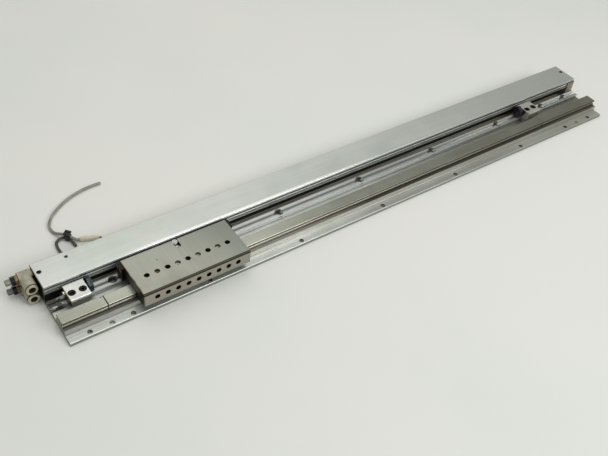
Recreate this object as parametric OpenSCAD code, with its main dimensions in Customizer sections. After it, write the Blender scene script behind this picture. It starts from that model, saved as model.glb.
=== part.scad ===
// Long-stroke pneumatic slide table: a magnet-coupled rodless cylinder under a cover
// drives a steel table that runs on a narrow ball guide beside it. Millimetres, +Z up.
// Origin: centre of the base's underside. X runs along the stroke, -Y is the guide side.

/* [Base] */
// Length of the base, rail and cover
base_l = 666; // [560:1:700]
// Overall width of the base
base_w = 80.4; // [80.2:0.1:84]
// Width of the mounting flange in front of the rail seat
flange_w = 10; // [9:0.5:10]
// Thickness of the mounting flange
flange_t = 3.2; // [2.5:0.1:4]
// Height of the rail seat
seat_h = 8.5; // [8:0.1:9]
// Width of the rail seat
seat_w = 18; // [17:0.5:18.5]
// Height of the valley floor between rail seat and ridge
valley_h = 4.3; // [3.6:0.1:4.6]
// Distance from the front edge to the slotted ridge
ridge_front = 38.5; // [37.8:0.1:39]
// Width of the slotted ridge
ridge_w = 9.8; // [9:0.1:10]
// Height of the slotted ridge
ridge_h = 8; // [7.5:0.1:8.4]
// Width of the slot's mouth in the ridge
slot_mouth = 3.6; // [3:0.1:4]
// Width of the slot below its lips
slot_inner = 5.2; // [4.6:0.1:5.4]
// Thickness of the slot's lips
slot_lip = 1.4; // [1:0.1:1.8]
// Depth of the slot below the ridge's top
slot_depth = 4; // [3:0.1:4.6]
// Depth of the clamping undercut in the ridge's front face
undercut = 1.3; // [0.8:0.1:1.5]
// Thickness of the floor under the cylinder
bed_t = 2.2; // [1.6:0.1:2.4]
// Thickness of the rear wall
rear_t = 2.6; // [2:0.1:3]
// Height of the rear wall
rear_h = 18.6; // [18:0.1:19.4]
// Diameter of the switch groove along the rear wall
groove_d = 4.4; // [4.2:0.1:4.6]
// Height of the switch groove's centre
groove_z = 15.1; // [14.8:0.1:15.3]

/* [Base holes] */
// Pitch of the middle mounting holes
hole_pitch = 100; // [80:1:110]
// Number of middle mounting holes
middle_holes = 5; // [3:2:5]
// Distance of the inner end holes from the ends
end_hole_near = 58.5; // [57:0.5:62]
// Distance of the dowel holes from the ends
end_hole_dowel = 39; // [34:0.5:44]
// Distance of the outer end holes from the ends
end_hole_far = 19; // [15:0.5:25]
// Distance of the flange holes from the front edge
flange_hole_y = 3.8; // [3.6:0.1:5]
// Diameter of the mounting holes
hole_d = 4.5; // [4:0.1:4.8]
// Diameter of the dowel holes in the flange
dowel_d = 5; // [4.5:0.1:5.2]
// Diameter of the counterbores in the ridge
cbore_d = 7.4; // [7:0.1:8]
// Depth of the counterbores in the ridge
cbore_depth = 4.4; // [3:0.1:4.6]

/* [Guide rail] */
// Width of the rail
rail_w = 12; // [11:0.1:12.4]
// Height of the rail
rail_h = 6.1; // [5.8:0.1:6.4]
// Distance from the base's front edge to the rail
rail_front = 13.7; // [13:0.1:14]
// Length of the separate rail piece at the left end
rail_piece_left = 41; // [30:1:50]
// Length of the separate rail piece at the right end
rail_piece_right = 90; // [60:1:100]
// Gap at each joint of the rail pieces
rail_gap = 0.3; // [0.1:0.1:0.5]
// Diameter of the guide balls
ball_d = 3.175; // [2.8:0.005:3.3]
// Height of the ball tracks above the rail seat
track_h = 2.9; // [2.7:0.1:3.1]
// Distance between neighbouring balls
ball_pitch = 3.5; // [3.4:0.1:4.5]
// Pitch of the rail's screws
rail_screw_pitch = 64; // [40:4:80]

/* [Table] */
// Length of the table
table_l = 105; // [100:1:120]
// Width of the table
table_w = 46; // [45:0.1:46.2]
// How far the table stands out in front of the base
table_out = 0.7; // [0:0.1:2]
// Height of the table's top face
table_top = 25; // [24.5:0.1:27]
// Thickness of the table's deck above the guide
deck_t = 9; // [8:0.1:9.4]
// Height of the table's bottom edge
skirt_z = 9.2; // [9:0.1:9.4]
// Distance of the table's middle from the left end at rest
table_x = 119.6; // [118:0.1:500]
// Number of tapped holes in each row
row_count = 9; // [5:2:9]
// Pitch of the tapped holes
row_pitch = 10; // [8:0.5:10]
// Diameter of the tapped holes
tap_d = 5; // [4:0.1:5.2]
// Depth of the blind tapped holes
tap_depth = 8; // [6:0.1:8]
// Distance of the top row from the table's front face
row_y = 19.5; // [19:0.1:20.5]
// Distance of the side row below the table's top face
side_row_drop = 8.1; // [7.5:0.1:8.2]
// Length of each ball return plate
return_l = 7; // [6.5:0.1:8]
// Thickness of each end seal
seal_t = 1.2; // [0.8:0.1:1.6]

/* [Coupling] */
// Width of the slot for the coupling pin
pin_slot_w = 5.4; // [5:0.1:6]
// Length of the slot in the table
pin_slot_l = 10.8; // [10:0.1:11.5]
// Depth of the slot in the table
pin_slot_depth = 5; // [4:0.1:6]
// Diameter of the coupling pin
pin_d = 4; // [3:0.1:4.4]
// Length of the coupling bracket
bracket_l = 32; // [28:1:40]

/* [Cylinder] */
// Bore of the cylinder tube
bore_d = 12; // [11:0.1:12.2]
// Wall of the cylinder tube
tube_t = 0.7; // [0.5:0.05:0.8]
// Distance from the front edge to the cylinder's axis
tube_front = 62.6; // [62.2:0.1:63]
// Height of the cylinder's axis
tube_z = 12.3; // [12.1:0.1:12.5]
// Number of magnets in each stack
magnets = 4; // [2:1:5]
// Length of each magnet
magnet_l = 10; // [8:0.5:11]
// Length of each pole plate
pole_l = 4; // [2:0.5:4]
// Thickness of the outer magnets
magnet_t = 1.9; // [1.4:0.1:2.1]
// Length of each wear ring at the slider's ends
wear_l = 5; // [4:0.5:6]
// Width of the magnet slider
slider_w = 20.4; // [20:0.1:20.6]
// Height of the magnet slider
slider_h = 19; // [18.6:0.1:19.2]
// Length of each piston head
piston_head_l = 8; // [6:0.5:10]
// Outer diameter of the air pipe
pipe_d = 4; // [3.5:0.1:4.4]

/* [Covers] */
// Distance from the base's front edge to the cover
cover_front = 49.5; // [49.2:0.1:49.8]
// Height of the cover's top face
cover_top = 24; // [23.8:0.1:24.4]
// Thickness of the cover's top
cover_t = 1.6; // [1.2:0.1:1.7]
// Thickness of the cover's front lip
lip_t = 1.9; // [1.4:0.1:2]
// Height of the front lip's lower edge
lip_z = 14.6; // [14.3:0.1:16]
// Length of each head cover
head_l = 13; // [11:0.5:14]
// Length of the right head's face that stands out in front
head_nose_l = 11.4; // [9:0.1:12]
// Distance of the air ports from the front edge
port_front = 75; // [74.8:0.1:75.2]
// Height of the upper air port
port_high_z = 17.8; // [17.6:0.1:17.9]
// Height of the lower air port
port_low_z = 6.4; // [6.2:0.1:6.5]
// Distance of the cover's screws from the ends
cover_screw_x = 4; // [3.5:0.1:5]
// Distance of the cover's screws from the front edge
cover_screw_front = 68.2; // [67.5:0.1:69.5]

/* [Stroke adjusters] */
// Length of each stopper holder
holder_l = 18.4; // [17:0.1:19]
// Width of each stopper holder
holder_w = 19; // [18.4:0.1:19.2]
// Height of each holder's top face
holder_top = 20; // [19.6:0.1:20.6]
// Distance of the holders' outer faces from the left end
holder_left_x = 14.8; // [12:0.1:16]
// Distance of the right holder's outer face from the right end
holder_right_x = 81; // [70:0.1:84]
// Distance between a holder's two clamp screws
holder_screw_pitch = 9.8; // [9.4:0.1:10.4]
// Diameter of the clamp screws
clamp_screw_d = 4; // [3:0.1:4]
// Diameter of the stopper bolts
stop_d = 5; // [4:0.1:5]
// Height of the stopper bolts' axis
stop_z = 15.4; // [15.3:0.1:15.6]
// Distance across the flats of the stopper's head
stop_head_af = 12.2; // [10:0.1:12.2]
// Thickness of the stopper's head
stop_head_t = 2; // [1.5:0.1:2.4]
// Thickness of the rubber bumper
bumper_t = 2; // [1.5:0.1:2.4]
// Gap behind the stopper's head, its fine adjustment
stop_gap = 1.5; // [1:0.1:1.8]

/* [Speed controllers] */
// Outer diameter of the resin bodies
elbow_d = 11.2; // [10:0.1:11.2]
// Distance from the port's axis to the face at the tube end
elbow_reach = 15.8; // [14:0.1:18]
// Diameter of the air tube that the fitting takes
air_tube_d = 6; // [5:0.1:6]
// Length of the threaded stem in the head
stem_thread_l = 4; // [3:0.1:4.5]
// Diameter of the stem's thread
stem_d = 5; // [4:0.1:5]
// Travel of the release ring
release_travel = 1; // [0.6:0.1:1.2]

/* [Switches] */
// Diameter of the switch leads
lead_d = 2.7; // [2:0.1:2.8]
// Length of a switch
switch_l = 20; // [16:0.5:22]
// Width of a switch
switch_w = 4; // [3:0.1:4.2]

/* [Hidden] */
$fn = 48;
eps = 0.05;          // how far a cutting tool runs past a face
fit = 0.05;          // radial clearance of a running or located fit
gap = 0.2;           // clearance between pieces that lie beside each other
edge = 0.4;          // small edge chamfer
left_x = -base_l / 2;
right_x = base_l / 2;
table_mid = left_x + table_x;
seat_back = flange_w + seat_w;

// Guide rail and ball tracks
rail_mid = rail_front + rail_w / 2;
rail_back = rail_front + rail_w;
rail_top = seat_h + rail_h;
track_z = seat_h + track_h;
ball_r = ball_d / 2;
track_r = ball_r + fit;
race_gap = 0.3;      // between the rail's side and the table's leg
track_ys = [rail_front - race_gap / 2, rail_back + race_gap / 2];
turn_r = 2.7;        // radius of the balls' turn from loaded track to return bore
return_ys = [track_ys[0] - 2 * turn_r, track_ys[1] + 2 * turn_r];
rail_screw_d = 4;
rail_screw_head = [6.8, 3.8, 3];    // of every cap screw: diameter, height, socket
rail_screw_room = 0.2;
rail_screw_roof = 1.6;              // rail left above its tapped holes
rail_mark = [2, 1.4, 1.2, 1];       // from the joint, from the back, diameter, depth
rail_screw_n = floor(base_l / 2 / rail_screw_pitch - 0.1);

// Slotted ridge
ridge_back = ridge_front + ridge_w;
ridge_mid = ridge_front + ridge_w / 2;
undercut_z = [valley_h + 0.4, valley_h + 2.2];
rear_in = base_w - rear_t;
groove_y = base_w - 0.5 - groove_d / 2;
groove_neck = 3.2;
groove_front = groove_y - groove_d / 2 - 0.6;
groove_low = groove_z - groove_d / 2 - 1.3;

// Table
table_front = -table_out;
table_back = table_front + table_w;
deck_z = table_top - deck_t;
skirt_t = 4;         // thickness of the front skirt
skirt_up = 1.3;      // how far the skirt ends above the legs
front_skirt_z = skirt_z + skirt_up;
plate_front = table_front + skirt_t + gap;
leg_l = table_l - 2 * (return_l + seal_t);
leg_ys = [rail_front - race_gap, rail_back + race_gap];
rear_leg_back = ridge_front - gap;
row_front = table_front + row_y;
row_xs = [for (i = [0 : row_count - 1]) (i - (row_count - 1) / 2) * row_pitch];
side_row_z = table_top - side_row_drop;
front_chamfer = 1;
leg_in = 1;          // how far the legs stand in from the table's front face
plate_room = 0.35;   // round the rail in the return plates
seal_room = 0.15;    // round the rail in the seals
plate_screw_d = 1.6;
plate_screw_head = [3, 1, 1.2];
plate_screw_grip = 6.2;
plate_screw_z = deck_z - plate_screw_head[0] / 2 - 0.3;
plate_screw_ys = [track_ys[0] - 2.4, track_ys[1] + 2.4];
plate_screw_l = return_l + plate_screw_grip - 0.4;
loop_l = 2 * leg_l + 2 * PI * turn_r;      // one circuit of balls
loop_n = floor(loop_l / ball_pitch);

// Coupling from the table to the magnet slider
tongue_z = [skirt_z + 0.1, skirt_z + 2.6];
bracket_ys = [ridge_front + 0.3, cover_front - 2.5];
pin_y = table_back - 2;
pin_head = [5, pin_slot_depth - 0.6];
keeper_y = table_back - pin_slot_l + 3.1;
keeper_head = [4.2, 2.2, 2];
keeper_l = 3;
bracket_screw_d = 3;
bracket_screw_head = [5.4, 2.4, 2.5];
bracket_seat_z = deck_z - bracket_screw_head[1] - 0.2;
bracket_screw_x = bracket_l / 2 - 5;

// Cylinder, slider and piston
tube_od = bore_d + 2 * tube_t;
magnet_id = tube_od + 2 * gap;
magnet_od = magnet_id + 2 * magnet_t;
slider_bore = magnet_od + 2 * fit;
stack_l = magnets * magnet_l + (magnets + 1) * pole_l;
slider_l = stack_l + 2 * wear_l;
slider_front = tube_front - slider_w / 2;
shaft_d = 4;
piston_od = bore_d - 2 * fit;
inner_od = bore_d - 2 * gap;
piston_l = stack_l + 2 * piston_head_l;
seal_r = 0.7;        // section of the piston seals
tube_seal_r = 0.9;   // section of the tube's seals

// Covers and heads
cover_under = cover_top - cover_t;
head_zs = [bed_t, cover_under - fit];
head_front = cover_front + lip_t + gap;
tube_seat = 7;       // how far the tube enters each head
chamber_l = 3;       // air chamber between the tube's end and the head's end wall
tube_x = left_x + head_l - tube_seat;
tube_l = base_l - 2 * (head_l - tube_seat);
tube_seal_in = 3;    // from each head's inner face to its tube seal
end_bumper_l = 3;
passage_d = 2;       // air passages in the heads and the fittings' barrels
pipe_seat = 5;
pipe_bore = pipe_d - 1.4;
nose_front = cover_front - 1;
nose_top = cover_top - 2.9;
head_screw_ys = [head_front + 3, port_front - 4.2];
head_screw_x = head_l / 2;
head_screw_d = 3;
head_screw_head = [5.4, 0.9, 2];
head_screw_sunk = 1;
head_screw_grip = 4.4;
cover_line_r = 0.5;  // section of the two lines along the cover's lip
cover_line_zs = [lip_z + 3.2, cover_top - 3];
cover_screw_d = 2.5;
cover_screw_head = [4.2, 1.1, 1.5];
cover_screw_z = cover_top - cover_screw_head[1] - 0.1;
cover_screw_l = 6;
access_hole = [30.5, 74, 3.2];   // from the left end, from the front, diameter

// Stroke adjusters
stop_y = ridge_front + 3.9;
stop_off = 14;       // from the holder's front face to the stopper's axis
holder_front = stop_y - stop_off;
holder_back = holder_front + holder_w;
holder_mids = [left_x + holder_left_x + holder_l / 2, right_x - holder_right_x - holder_l / 2];
clamp_y = ridge_front - clamp_screw_d / 2 - 0.1;
clamp_head = [6.6, 3.9, 3];
clamp_head_z = holder_top - clamp_head[1] - 0.4;
overhang_z = holder_top - 7.4;
jaw_front = clamp_y - 4;
jaw_top = ridge_h + 0.7;
jaw_room = 0.6;      // between each jaw and its holder
jaw_side = 0.1;      // between each jaw and the ridge's front
key_h = 1;           // of each holder's key in the ridge's slot
stop_tail = 1.6;     // how far the stopper bolt stands out behind its holder
stop_socket = [2, 2.5];             // depth and width across flats, in the bolt's tail
bumper_plug = 1;     // how far the bumper reaches into the stopper's head
stop_plate_t = 3;
stop_plate_ys = [stop_y - 6.1, table_back + 0.9];
stop_plate_zs = [ridge_h + 0.6, table_top - 1];
stop_screw_ys = [stop_y - 3.4, stop_y + 1.6];
stop_screw_z = deck_z + 4.4;
stop_screw_d = 2.5;
stop_screw_head = [4.2, 2, 2.5];
stop_screw_l = 7;
stop_screw_x = table_l / 2 + stop_plate_t - stop_screw_head[1] - 0.2;

// Speed controllers
stand_off = 1.4;     // from the head's face to the resin body
gasket_t = 0.3;
elbow_x = left_x - stand_off - elbow_d / 2;
mouth_y = port_front - elbow_reach;
ports_z = [port_high_z, port_low_z];
barrel_d = 6;
stem_hex = 8;
gasket_d = 7.6;
needle_d = 3;
needle_tip = [2, 1];                // length and end diameter
knob_slot = [0.8, 1];               // width and depth of the screwdriver slot
collar = [8, 2.7];
lock_nut = [7.4, 3.2];
knob = [5.4, 4.4];
collar_x = elbow_x - elbow_d / 2 - 0.1;
nut_x = collar_x - collar[1] - 0.2;
knob_x = nut_x - lock_nut[1] - 0.3;
ring_flange = [10.2, 1.1];
ring_sleeve = [8.4, 6.6];
ring_y = mouth_y - release_travel - 0.2;

// Switches and their leads: points along X from the base's left end, Y and Z from the origin
mounted_x = 45;      // where the lead leaves the mounted switch
lead_back = groove_y - base_w / 2;
mounted_path = [[mounted_x, lead_back, groove_z], [43, lead_back, groove_z],
    [39.8, 38.4, groove_z], [37.4, 40.8, 15], [36.3, 44.2, 14.2], [35.7, 47.8, 12.2],
    [35.2, 51.2, 9.2], [34.9, 54.6, 6], [34.7, 58.4, 3.3], [34.6, 62.6, 1.9],
    [34.7, 67, 1.5], [35, 71, 1.5], [35.9, 74.5, 1.6], [38.5, 77.1, 1.8],
    [42, 78, 2.1], [44.9, 77.4, 2.2], [47.2, 75.7, 2.3], [48.7, 73.2, 2.2],
    [49.1, 70, 1.9], [49.6, 66.5, 1.6], [49.8, 63, 1.5]];
loose_angle = -18.9;
loose_at = [56, 68.4];
loose_path = [[55.9, 68.44, 2.2], [53.6, 69.2, 2.2], [50.8, 71.4, 3.9], [48.3, 74.2, 5.4],
    [45.7, 77.6, 5.4], [42.8, 82, 3.9], [40.2, 86.8, 2], [38.8, 91, 1.5],
    [38.6, 96, 1.5], [40.2, 101.5, 1.5], [46.6, 110.5, 1.5], [58.5, 119.8, 1.5],
    [71.4, 126.5, 1.5], [83.4, 130.2, 1.5], [94.6, 132, 1.5], [105.3, 132.2, 1.5]];
tie_at = [47.5, 75.3];
tie_turn = 131;
tie_in = [lead_d / 2 + 0.6, lead_d * 2 + 0.8];   // half width and height inside the strap
tie_strap = [3.6, 0.8];
tie_head = [4.4, 4.8, 1.6];

// Placing helpers. Sections are drawn as (distance from the front edge, height).
module from_front() translate([0, -base_w / 2, 0]) children();
module from_left() translate([left_x, 0, 0]) children();
module on_table() translate([table_mid, -base_w / 2, 0]) children();
module along_x(x, l) translate([x, 0, 0]) rotate([90, 0, 90]) linear_extrude(l) children();
module rod_x(x, y, z, l, d) translate([x, y, z]) rotate([0, 90, 0]) cylinder(h = l, d = d);
module rod_y(x, y, z, l, d) translate([x, y, z]) rotate([-90, 0, 0]) cylinder(h = l, d = d);
module rod_z(x, y, z, l, d) translate([x, y, z]) cylinder(h = l, d = d);
module hex_x(x, y, z, l, af)
    translate([x, y, z]) rotate([0, 90, 0]) cylinder(h = l, d = af / cos(30), $fn = 6);
module hex_z(x, y, z, l, af) translate([x, y, z]) cylinder(h = l, d = af / cos(30), $fn = 6);
module ring_x(x, y, z, l, outer, inner) difference() {
    rod_x(x, y, z, l, outer);
    rod_x(x - eps, y, z, l + 2 * eps, inner);
}
module torus_x(x, y, z, r, section) translate([x, y, z]) rotate([0, 90, 0])
    rotate_extrude() translate([r, 0]) circle(section);
// Socket-head screw that stands on z and points down
module cap_screw(x, y, z, d, l, head) difference() {
    union() {
        rod_z(x, y, z - l, l + eps, d);
        rod_z(x, y, z, head[1], head[0]);
    }
    hex_z(x, y, z + head[1] / 2, head[1], head[2]);
}
// The same screw, pointing along the stroke: way is 1 towards +X and -1 towards -X
module cap_screw_x(x, y, z, d, l, head, way)
    translate([x, y, z]) rotate([0, -90 * way, 0]) cap_screw(0, 0, 0, d, l, head);

// Base ------------------------------------------------------------------------
module base_section() difference() {
    polygon([[0, 0], [base_w, 0], [base_w, rear_h], [groove_front, rear_h],
        [groove_front, groove_low], [rear_in, groove_low - 1], [rear_in, bed_t],
        [ridge_back, bed_t], [ridge_back, ridge_h], [ridge_front, ridge_h],
        [ridge_front, valley_h], [seat_back, valley_h], [seat_back, seat_h],
        [flange_w, seat_h], [flange_w, flange_t], [edge, flange_t], [0, flange_t - edge]]);
    translate([ridge_front - eps, undercut_z[0]])
        square([undercut + eps, undercut_z[1] - undercut_z[0]]);
    translate([ridge_mid - slot_mouth / 2, ridge_h - slot_lip - eps])
        square([slot_mouth, slot_lip + 2 * eps]);
    translate([ridge_mid - slot_inner / 2, ridge_h - slot_depth])
        square([slot_inner, slot_depth - slot_lip]);
    translate([groove_y, groove_z]) circle(d = groove_d);
    translate([groove_y, groove_z - groove_neck / 2]) square([groove_d, groove_neck]);
}
module flange_holes() {
    for (i = [-(middle_holes - 1) / 2 : (middle_holes - 1) / 2])
        rod_z(i * hole_pitch, flange_hole_y, -eps, flange_t + 2 * eps, hole_d);
    for (s = [-1, 1]) {
        for (x = [end_hole_near, end_hole_far])
            rod_z(s * (right_x - x), flange_hole_y, -eps, flange_t + 2 * eps, hole_d);
        rod_z(s * (right_x - end_hole_dowel), flange_hole_y, -eps, flange_t + 2 * eps, dowel_d);
    }
}
module ridge_hole(x) {
    rod_z(x, ridge_mid, -eps, ridge_h, hole_d);
    rod_z(x, ridge_mid, ridge_h - cbore_depth, ridge_h, cbore_d);
}
module ridge_holes() {
    for (i = [-(middle_holes - 1) / 2 : (middle_holes - 1) / 2]) ridge_hole(i * hole_pitch);
    for (s = [-1, 1], x = [end_hole_near, end_hole_far]) ridge_hole(s * (right_x - x));
}
module rail_screw_places() for (i = [-rail_screw_n : rail_screw_n])
    translate([i * rail_screw_pitch, rail_mid, 0]) children();
module head_screw_places() for (s = [-1, 1], y = head_screw_ys)
    translate([s * (right_x - head_screw_x), y, 0]) children();
module base() color("silver") from_front() difference() {
    along_x(left_x, base_l) base_section();
    flange_holes();
    ridge_holes();
    rail_screw_places() {
        rod_z(0, 0, -eps, rail_screw_head[1] + rail_screw_room, rail_screw_head[0] + 2 * gap);
        rod_z(0, 0, 0, seat_h + eps, rail_screw_d + 2 * gap);
    }
    head_screw_places() {
        rod_z(0, 0, -eps, head_screw_sunk + eps, head_screw_head[0] + 2 * gap);
        rod_z(0, 0, 0, bed_t + eps, head_screw_d + gap);
    }
    for (x = [left_x - eps, right_x - head_l - gap])
        translate([x, ridge_back + gap, bed_t]) cube([head_l + gap + eps, base_w, base_w]);
}

// Guide rail ------------------------------------------------------------------
module rail_section() difference() {
    polygon([[rail_front, seat_h], [rail_back, seat_h], [rail_back, rail_top - edge],
        [rail_back - edge, rail_top], [rail_front + edge, rail_top],
        [rail_front, rail_top - edge]]);
    for (y = track_ys) translate([y, track_z]) circle(track_r);
}
module rail_piece(x, l) difference() {
    along_x(x, l) rail_section();
    rail_screw_places() rod_z(0, 0, seat_h - eps, rail_h - rail_screw_roof, rail_screw_d + 2 * fit);
}
module guide_rail() color("darkgray") from_front()
    rail_piece(left_x + rail_piece_left + rail_gap,
        base_l - rail_piece_left - rail_piece_right - 2 * rail_gap);
module rail_end_left() color("darkgray") from_front() difference() {
    rail_piece(left_x, rail_piece_left);
    rod_z(left_x + rail_piece_left - rail_mark[0], rail_back - rail_mark[1],
        rail_top - rail_mark[3], rail_h, rail_mark[2]);
}
module rail_end_right() color("darkgray") from_front()
    rail_piece(right_x - rail_piece_right, rail_piece_right);
module rail_screws() color("dimgray") from_front() rail_screw_places()
    rotate([180, 0, 0]) cap_screw(0, 0, -rail_screw_head[1], rail_screw_d,
        seat_h - rail_screw_head[1] + rail_h - rail_screw_roof - 4 * rail_screw_room, rail_screw_head);

// Cover and heads -------------------------------------------------------------
module cover_section() difference() {
    polygon([[cover_front, lip_z + edge], [cover_front, cover_top - edge],
        [cover_front + edge, cover_top], [base_w - edge, cover_top],
        [base_w, cover_top - edge], [base_w, rear_h], [rear_in, rear_h],
        [rear_in, cover_under], [cover_front + lip_t, cover_under],
        [cover_front + lip_t, lip_z], [cover_front + edge, lip_z]]);
    for (z = cover_line_zs) translate([cover_front, z]) circle(cover_line_r);
}
module cover_screw_places() for (s = [-1, 1])
    translate([s * (right_x - cover_screw_x), cover_screw_front, 0]) children();
module tube_cover() color("whitesmoke") from_front() difference() {
    along_x(left_x, base_l) cover_section();
    cover_screw_places() {
        rod_z(0, 0, cover_screw_z, cover_t, cover_screw_head[0] + 2 * fit);
        rod_z(0, 0, cover_under - eps, cover_t, cover_screw_d + 2 * fit);
    }
    rod_z(left_x + access_hole[0], access_hole[1], cover_under - eps, cover_t + 1, access_hole[2]);
    translate([right_x - head_nose_l - gap, cover_front - eps, lip_z - eps])
        cube([head_nose_l + 1, lip_t + 2 * eps, nose_top + gap - lip_z]);
}
module cover_screws() color("dimgray") from_front() cover_screw_places()
    cap_screw(0, 0, cover_screw_z, cover_screw_d, cover_screw_l, cover_screw_head);
module head_section() polygon([[head_front, head_zs[0]], [base_w - gap, head_zs[0]],
    [base_w - gap, rear_h - gap], [rear_in - gap, rear_h - gap],
    [rear_in - gap, head_zs[1]], [head_front, head_zs[1]]]);
// Slanting air passage from a port's height to the cylinder's axis
module air_passage(x, z) {
    dy = port_front - tube_front;
    dz = z - tube_z;
    translate([x, tube_front, tube_z]) rotate([-atan2(dy, dz), 0, 0])
        cylinder(h = norm([dy, dz]), d = passage_d);
}
module head_screw_holes(s) for (y = head_screw_ys)
    rod_z(s * (right_x - head_screw_x), y, bed_t - eps, head_screw_grip + 3 * gap, head_screw_d + 2 * fit);
module cover_screw_hole(s) rod_z(s * (right_x - cover_screw_x), cover_screw_front,
    cover_under - cover_screw_l, cover_screw_l + 1, cover_screw_d + 2 * fit);
module head_cover_left() color("dimgray") from_front() difference() {
    along_x(left_x, head_l) head_section();
    rod_x(left_x + head_l - tube_seat, tube_front, tube_z, tube_seat + eps, tube_od + 2 * fit);
    torus_x(left_x + head_l - tube_seal_in, tube_front, tube_z, tube_od / 2 + tube_seal_r, tube_seal_r);
    rod_x(left_x + head_l - tube_seat - chamber_l, tube_front, tube_z, chamber_l + eps, bore_d / 2);
    for (z = ports_z) rod_x(left_x - eps, port_front, z, stem_thread_l + 1, stem_d + 2 * fit);
    air_passage(left_x + stem_thread_l + 0.4, port_high_z);
    rod_x(left_x, port_front, port_low_z, head_l, pipe_bore);
    rod_x(left_x + head_l - pipe_seat, port_front, port_low_z, pipe_seat + eps, pipe_d + 2 * fit);
    head_screw_holes(-1);
    cover_screw_hole(-1);
}
module head_cover_right() color("silver") from_front() difference() {
    union() {
        along_x(right_x - head_l, head_l) head_section();
        translate([right_x - head_nose_l, nose_front, bed_t])
            cube([head_nose_l, head_front - nose_front + eps, nose_top - bed_t]);
    }
    rod_x(right_x - head_l - eps, tube_front, tube_z, tube_seat + eps, tube_od + 2 * fit);
    torus_x(right_x - head_l + tube_seal_in, tube_front, tube_z, tube_od / 2 + tube_seal_r, tube_seal_r);
    rod_x(right_x - head_l + tube_seat - eps, tube_front, tube_z, chamber_l + eps, bore_d / 2);
    air_passage(right_x - head_l + tube_seat + chamber_l / 2, port_low_z);
    rod_x(right_x - head_l - eps, port_front, port_low_z, pipe_seat + eps, pipe_d + 2 * fit);
    rod_x(right_x - head_l, port_front, port_low_z, tube_seat + (chamber_l + passage_d) / 2, pipe_bore);
    head_screw_holes(1);
    cover_screw_hole(1);
}
module head_screws() color("dimgray") from_front() head_screw_places()
    rotate([180, 0, 0]) cap_screw(0, 0, -head_screw_sunk, head_screw_d,
        bed_t - head_screw_sunk + head_screw_grip, head_screw_head);

// Cylinder --------------------------------------------------------------------
module cylinder_tube() color("lightgray") from_front()
    ring_x(tube_x, tube_front, tube_z, tube_l, tube_od, bore_d);
module tube_seals() color("black") from_front()
    for (x = [left_x + head_l - tube_seal_in, right_x - head_l + tube_seal_in]) difference() {
        torus_x(x, tube_front, tube_z, tube_od / 2 + tube_seal_r, tube_seal_r - fit);
        rod_x(x - 2 * tube_seal_r, tube_front, tube_z, 4 * tube_seal_r, tube_od + 2 * fit);
    }
module end_bumpers() color("darkslategray") from_front()
    for (x = [tube_x, tube_x + tube_l - end_bumper_l])
        ring_x(x, tube_front, tube_z, end_bumper_l, bore_d - 2 * fit, bore_d / 2);
module air_pipe() color("lightgray") from_front()
    ring_x(left_x + head_l - pipe_seat, port_front, port_low_z,
        base_l - 2 * (head_l - pipe_seat), pipe_d, pipe_bore);

// Stroke adjusters ------------------------------------------------------------
module holder_section() polygon([[holder_front, overhang_z], [holder_front, holder_top - edge],
    [holder_front + edge, holder_top], [holder_back - edge, holder_top],
    [holder_back, holder_top - edge], [holder_back, ridge_h],
    [ridge_mid + slot_mouth / 2 - gap, ridge_h], [ridge_mid + slot_mouth / 2 - gap, ridge_h - key_h],
    [ridge_mid - slot_mouth / 2 + gap, ridge_h - key_h], [ridge_mid - slot_mouth / 2 + gap, ridge_h],
    [ridge_front, ridge_h], [ridge_front, jaw_top + jaw_room], [jaw_front - 1, jaw_top + jaw_room]]);
module stopper_holder(i) color("gainsboro") from_front() difference() {
    along_x(holder_mids[i] - holder_l / 2, holder_l) holder_section();
    rod_x(holder_mids[i] - holder_l, stop_y, stop_z, 2 * holder_l, stop_d + 2 * fit);
    for (s = [-0.5, 0.5]) translate([holder_mids[i] + s * holder_screw_pitch, clamp_y, 0]) {
        rod_z(0, 0, 0, holder_top, clamp_screw_d + 2 * fit);
        rod_z(0, 0, clamp_head_z, holder_top, clamp_head[0] + 6 * fit);
    }
}
module stopper_holder_left() stopper_holder(0);
module stopper_holder_right() stopper_holder(1);
module holder_clamps() color("silver") from_front() for (x = holder_mids) difference() {
    translate([x - holder_l / 2 + 2 * gap, 0, 0]) along_x(0, holder_l - 4 * gap)
        polygon([[jaw_front, valley_h + jaw_side + gap], [ridge_front - jaw_side, valley_h + jaw_side + gap],
            [ridge_front - jaw_side, undercut_z[0] + fit],
            [ridge_front + undercut - gap, undercut_z[0] + fit],
            [ridge_front + undercut - gap, undercut_z[1] - fit],
            [ridge_front - jaw_side, undercut_z[1] - fit],
            [ridge_front - jaw_side, jaw_top], [jaw_front, jaw_top]]);
    for (s = [-0.5, 0.5])
        rod_z(x + s * holder_screw_pitch, clamp_y, 0, holder_top, clamp_screw_d + 2 * fit);
}
module holder_screws() color("dimgray") from_front() for (x = holder_mids, s = [-0.5, 0.5])
    cap_screw(x + s * holder_screw_pitch, clamp_y, clamp_head_z, clamp_screw_d,
        clamp_head_z - valley_h - 4 * gap, clamp_head);
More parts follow.
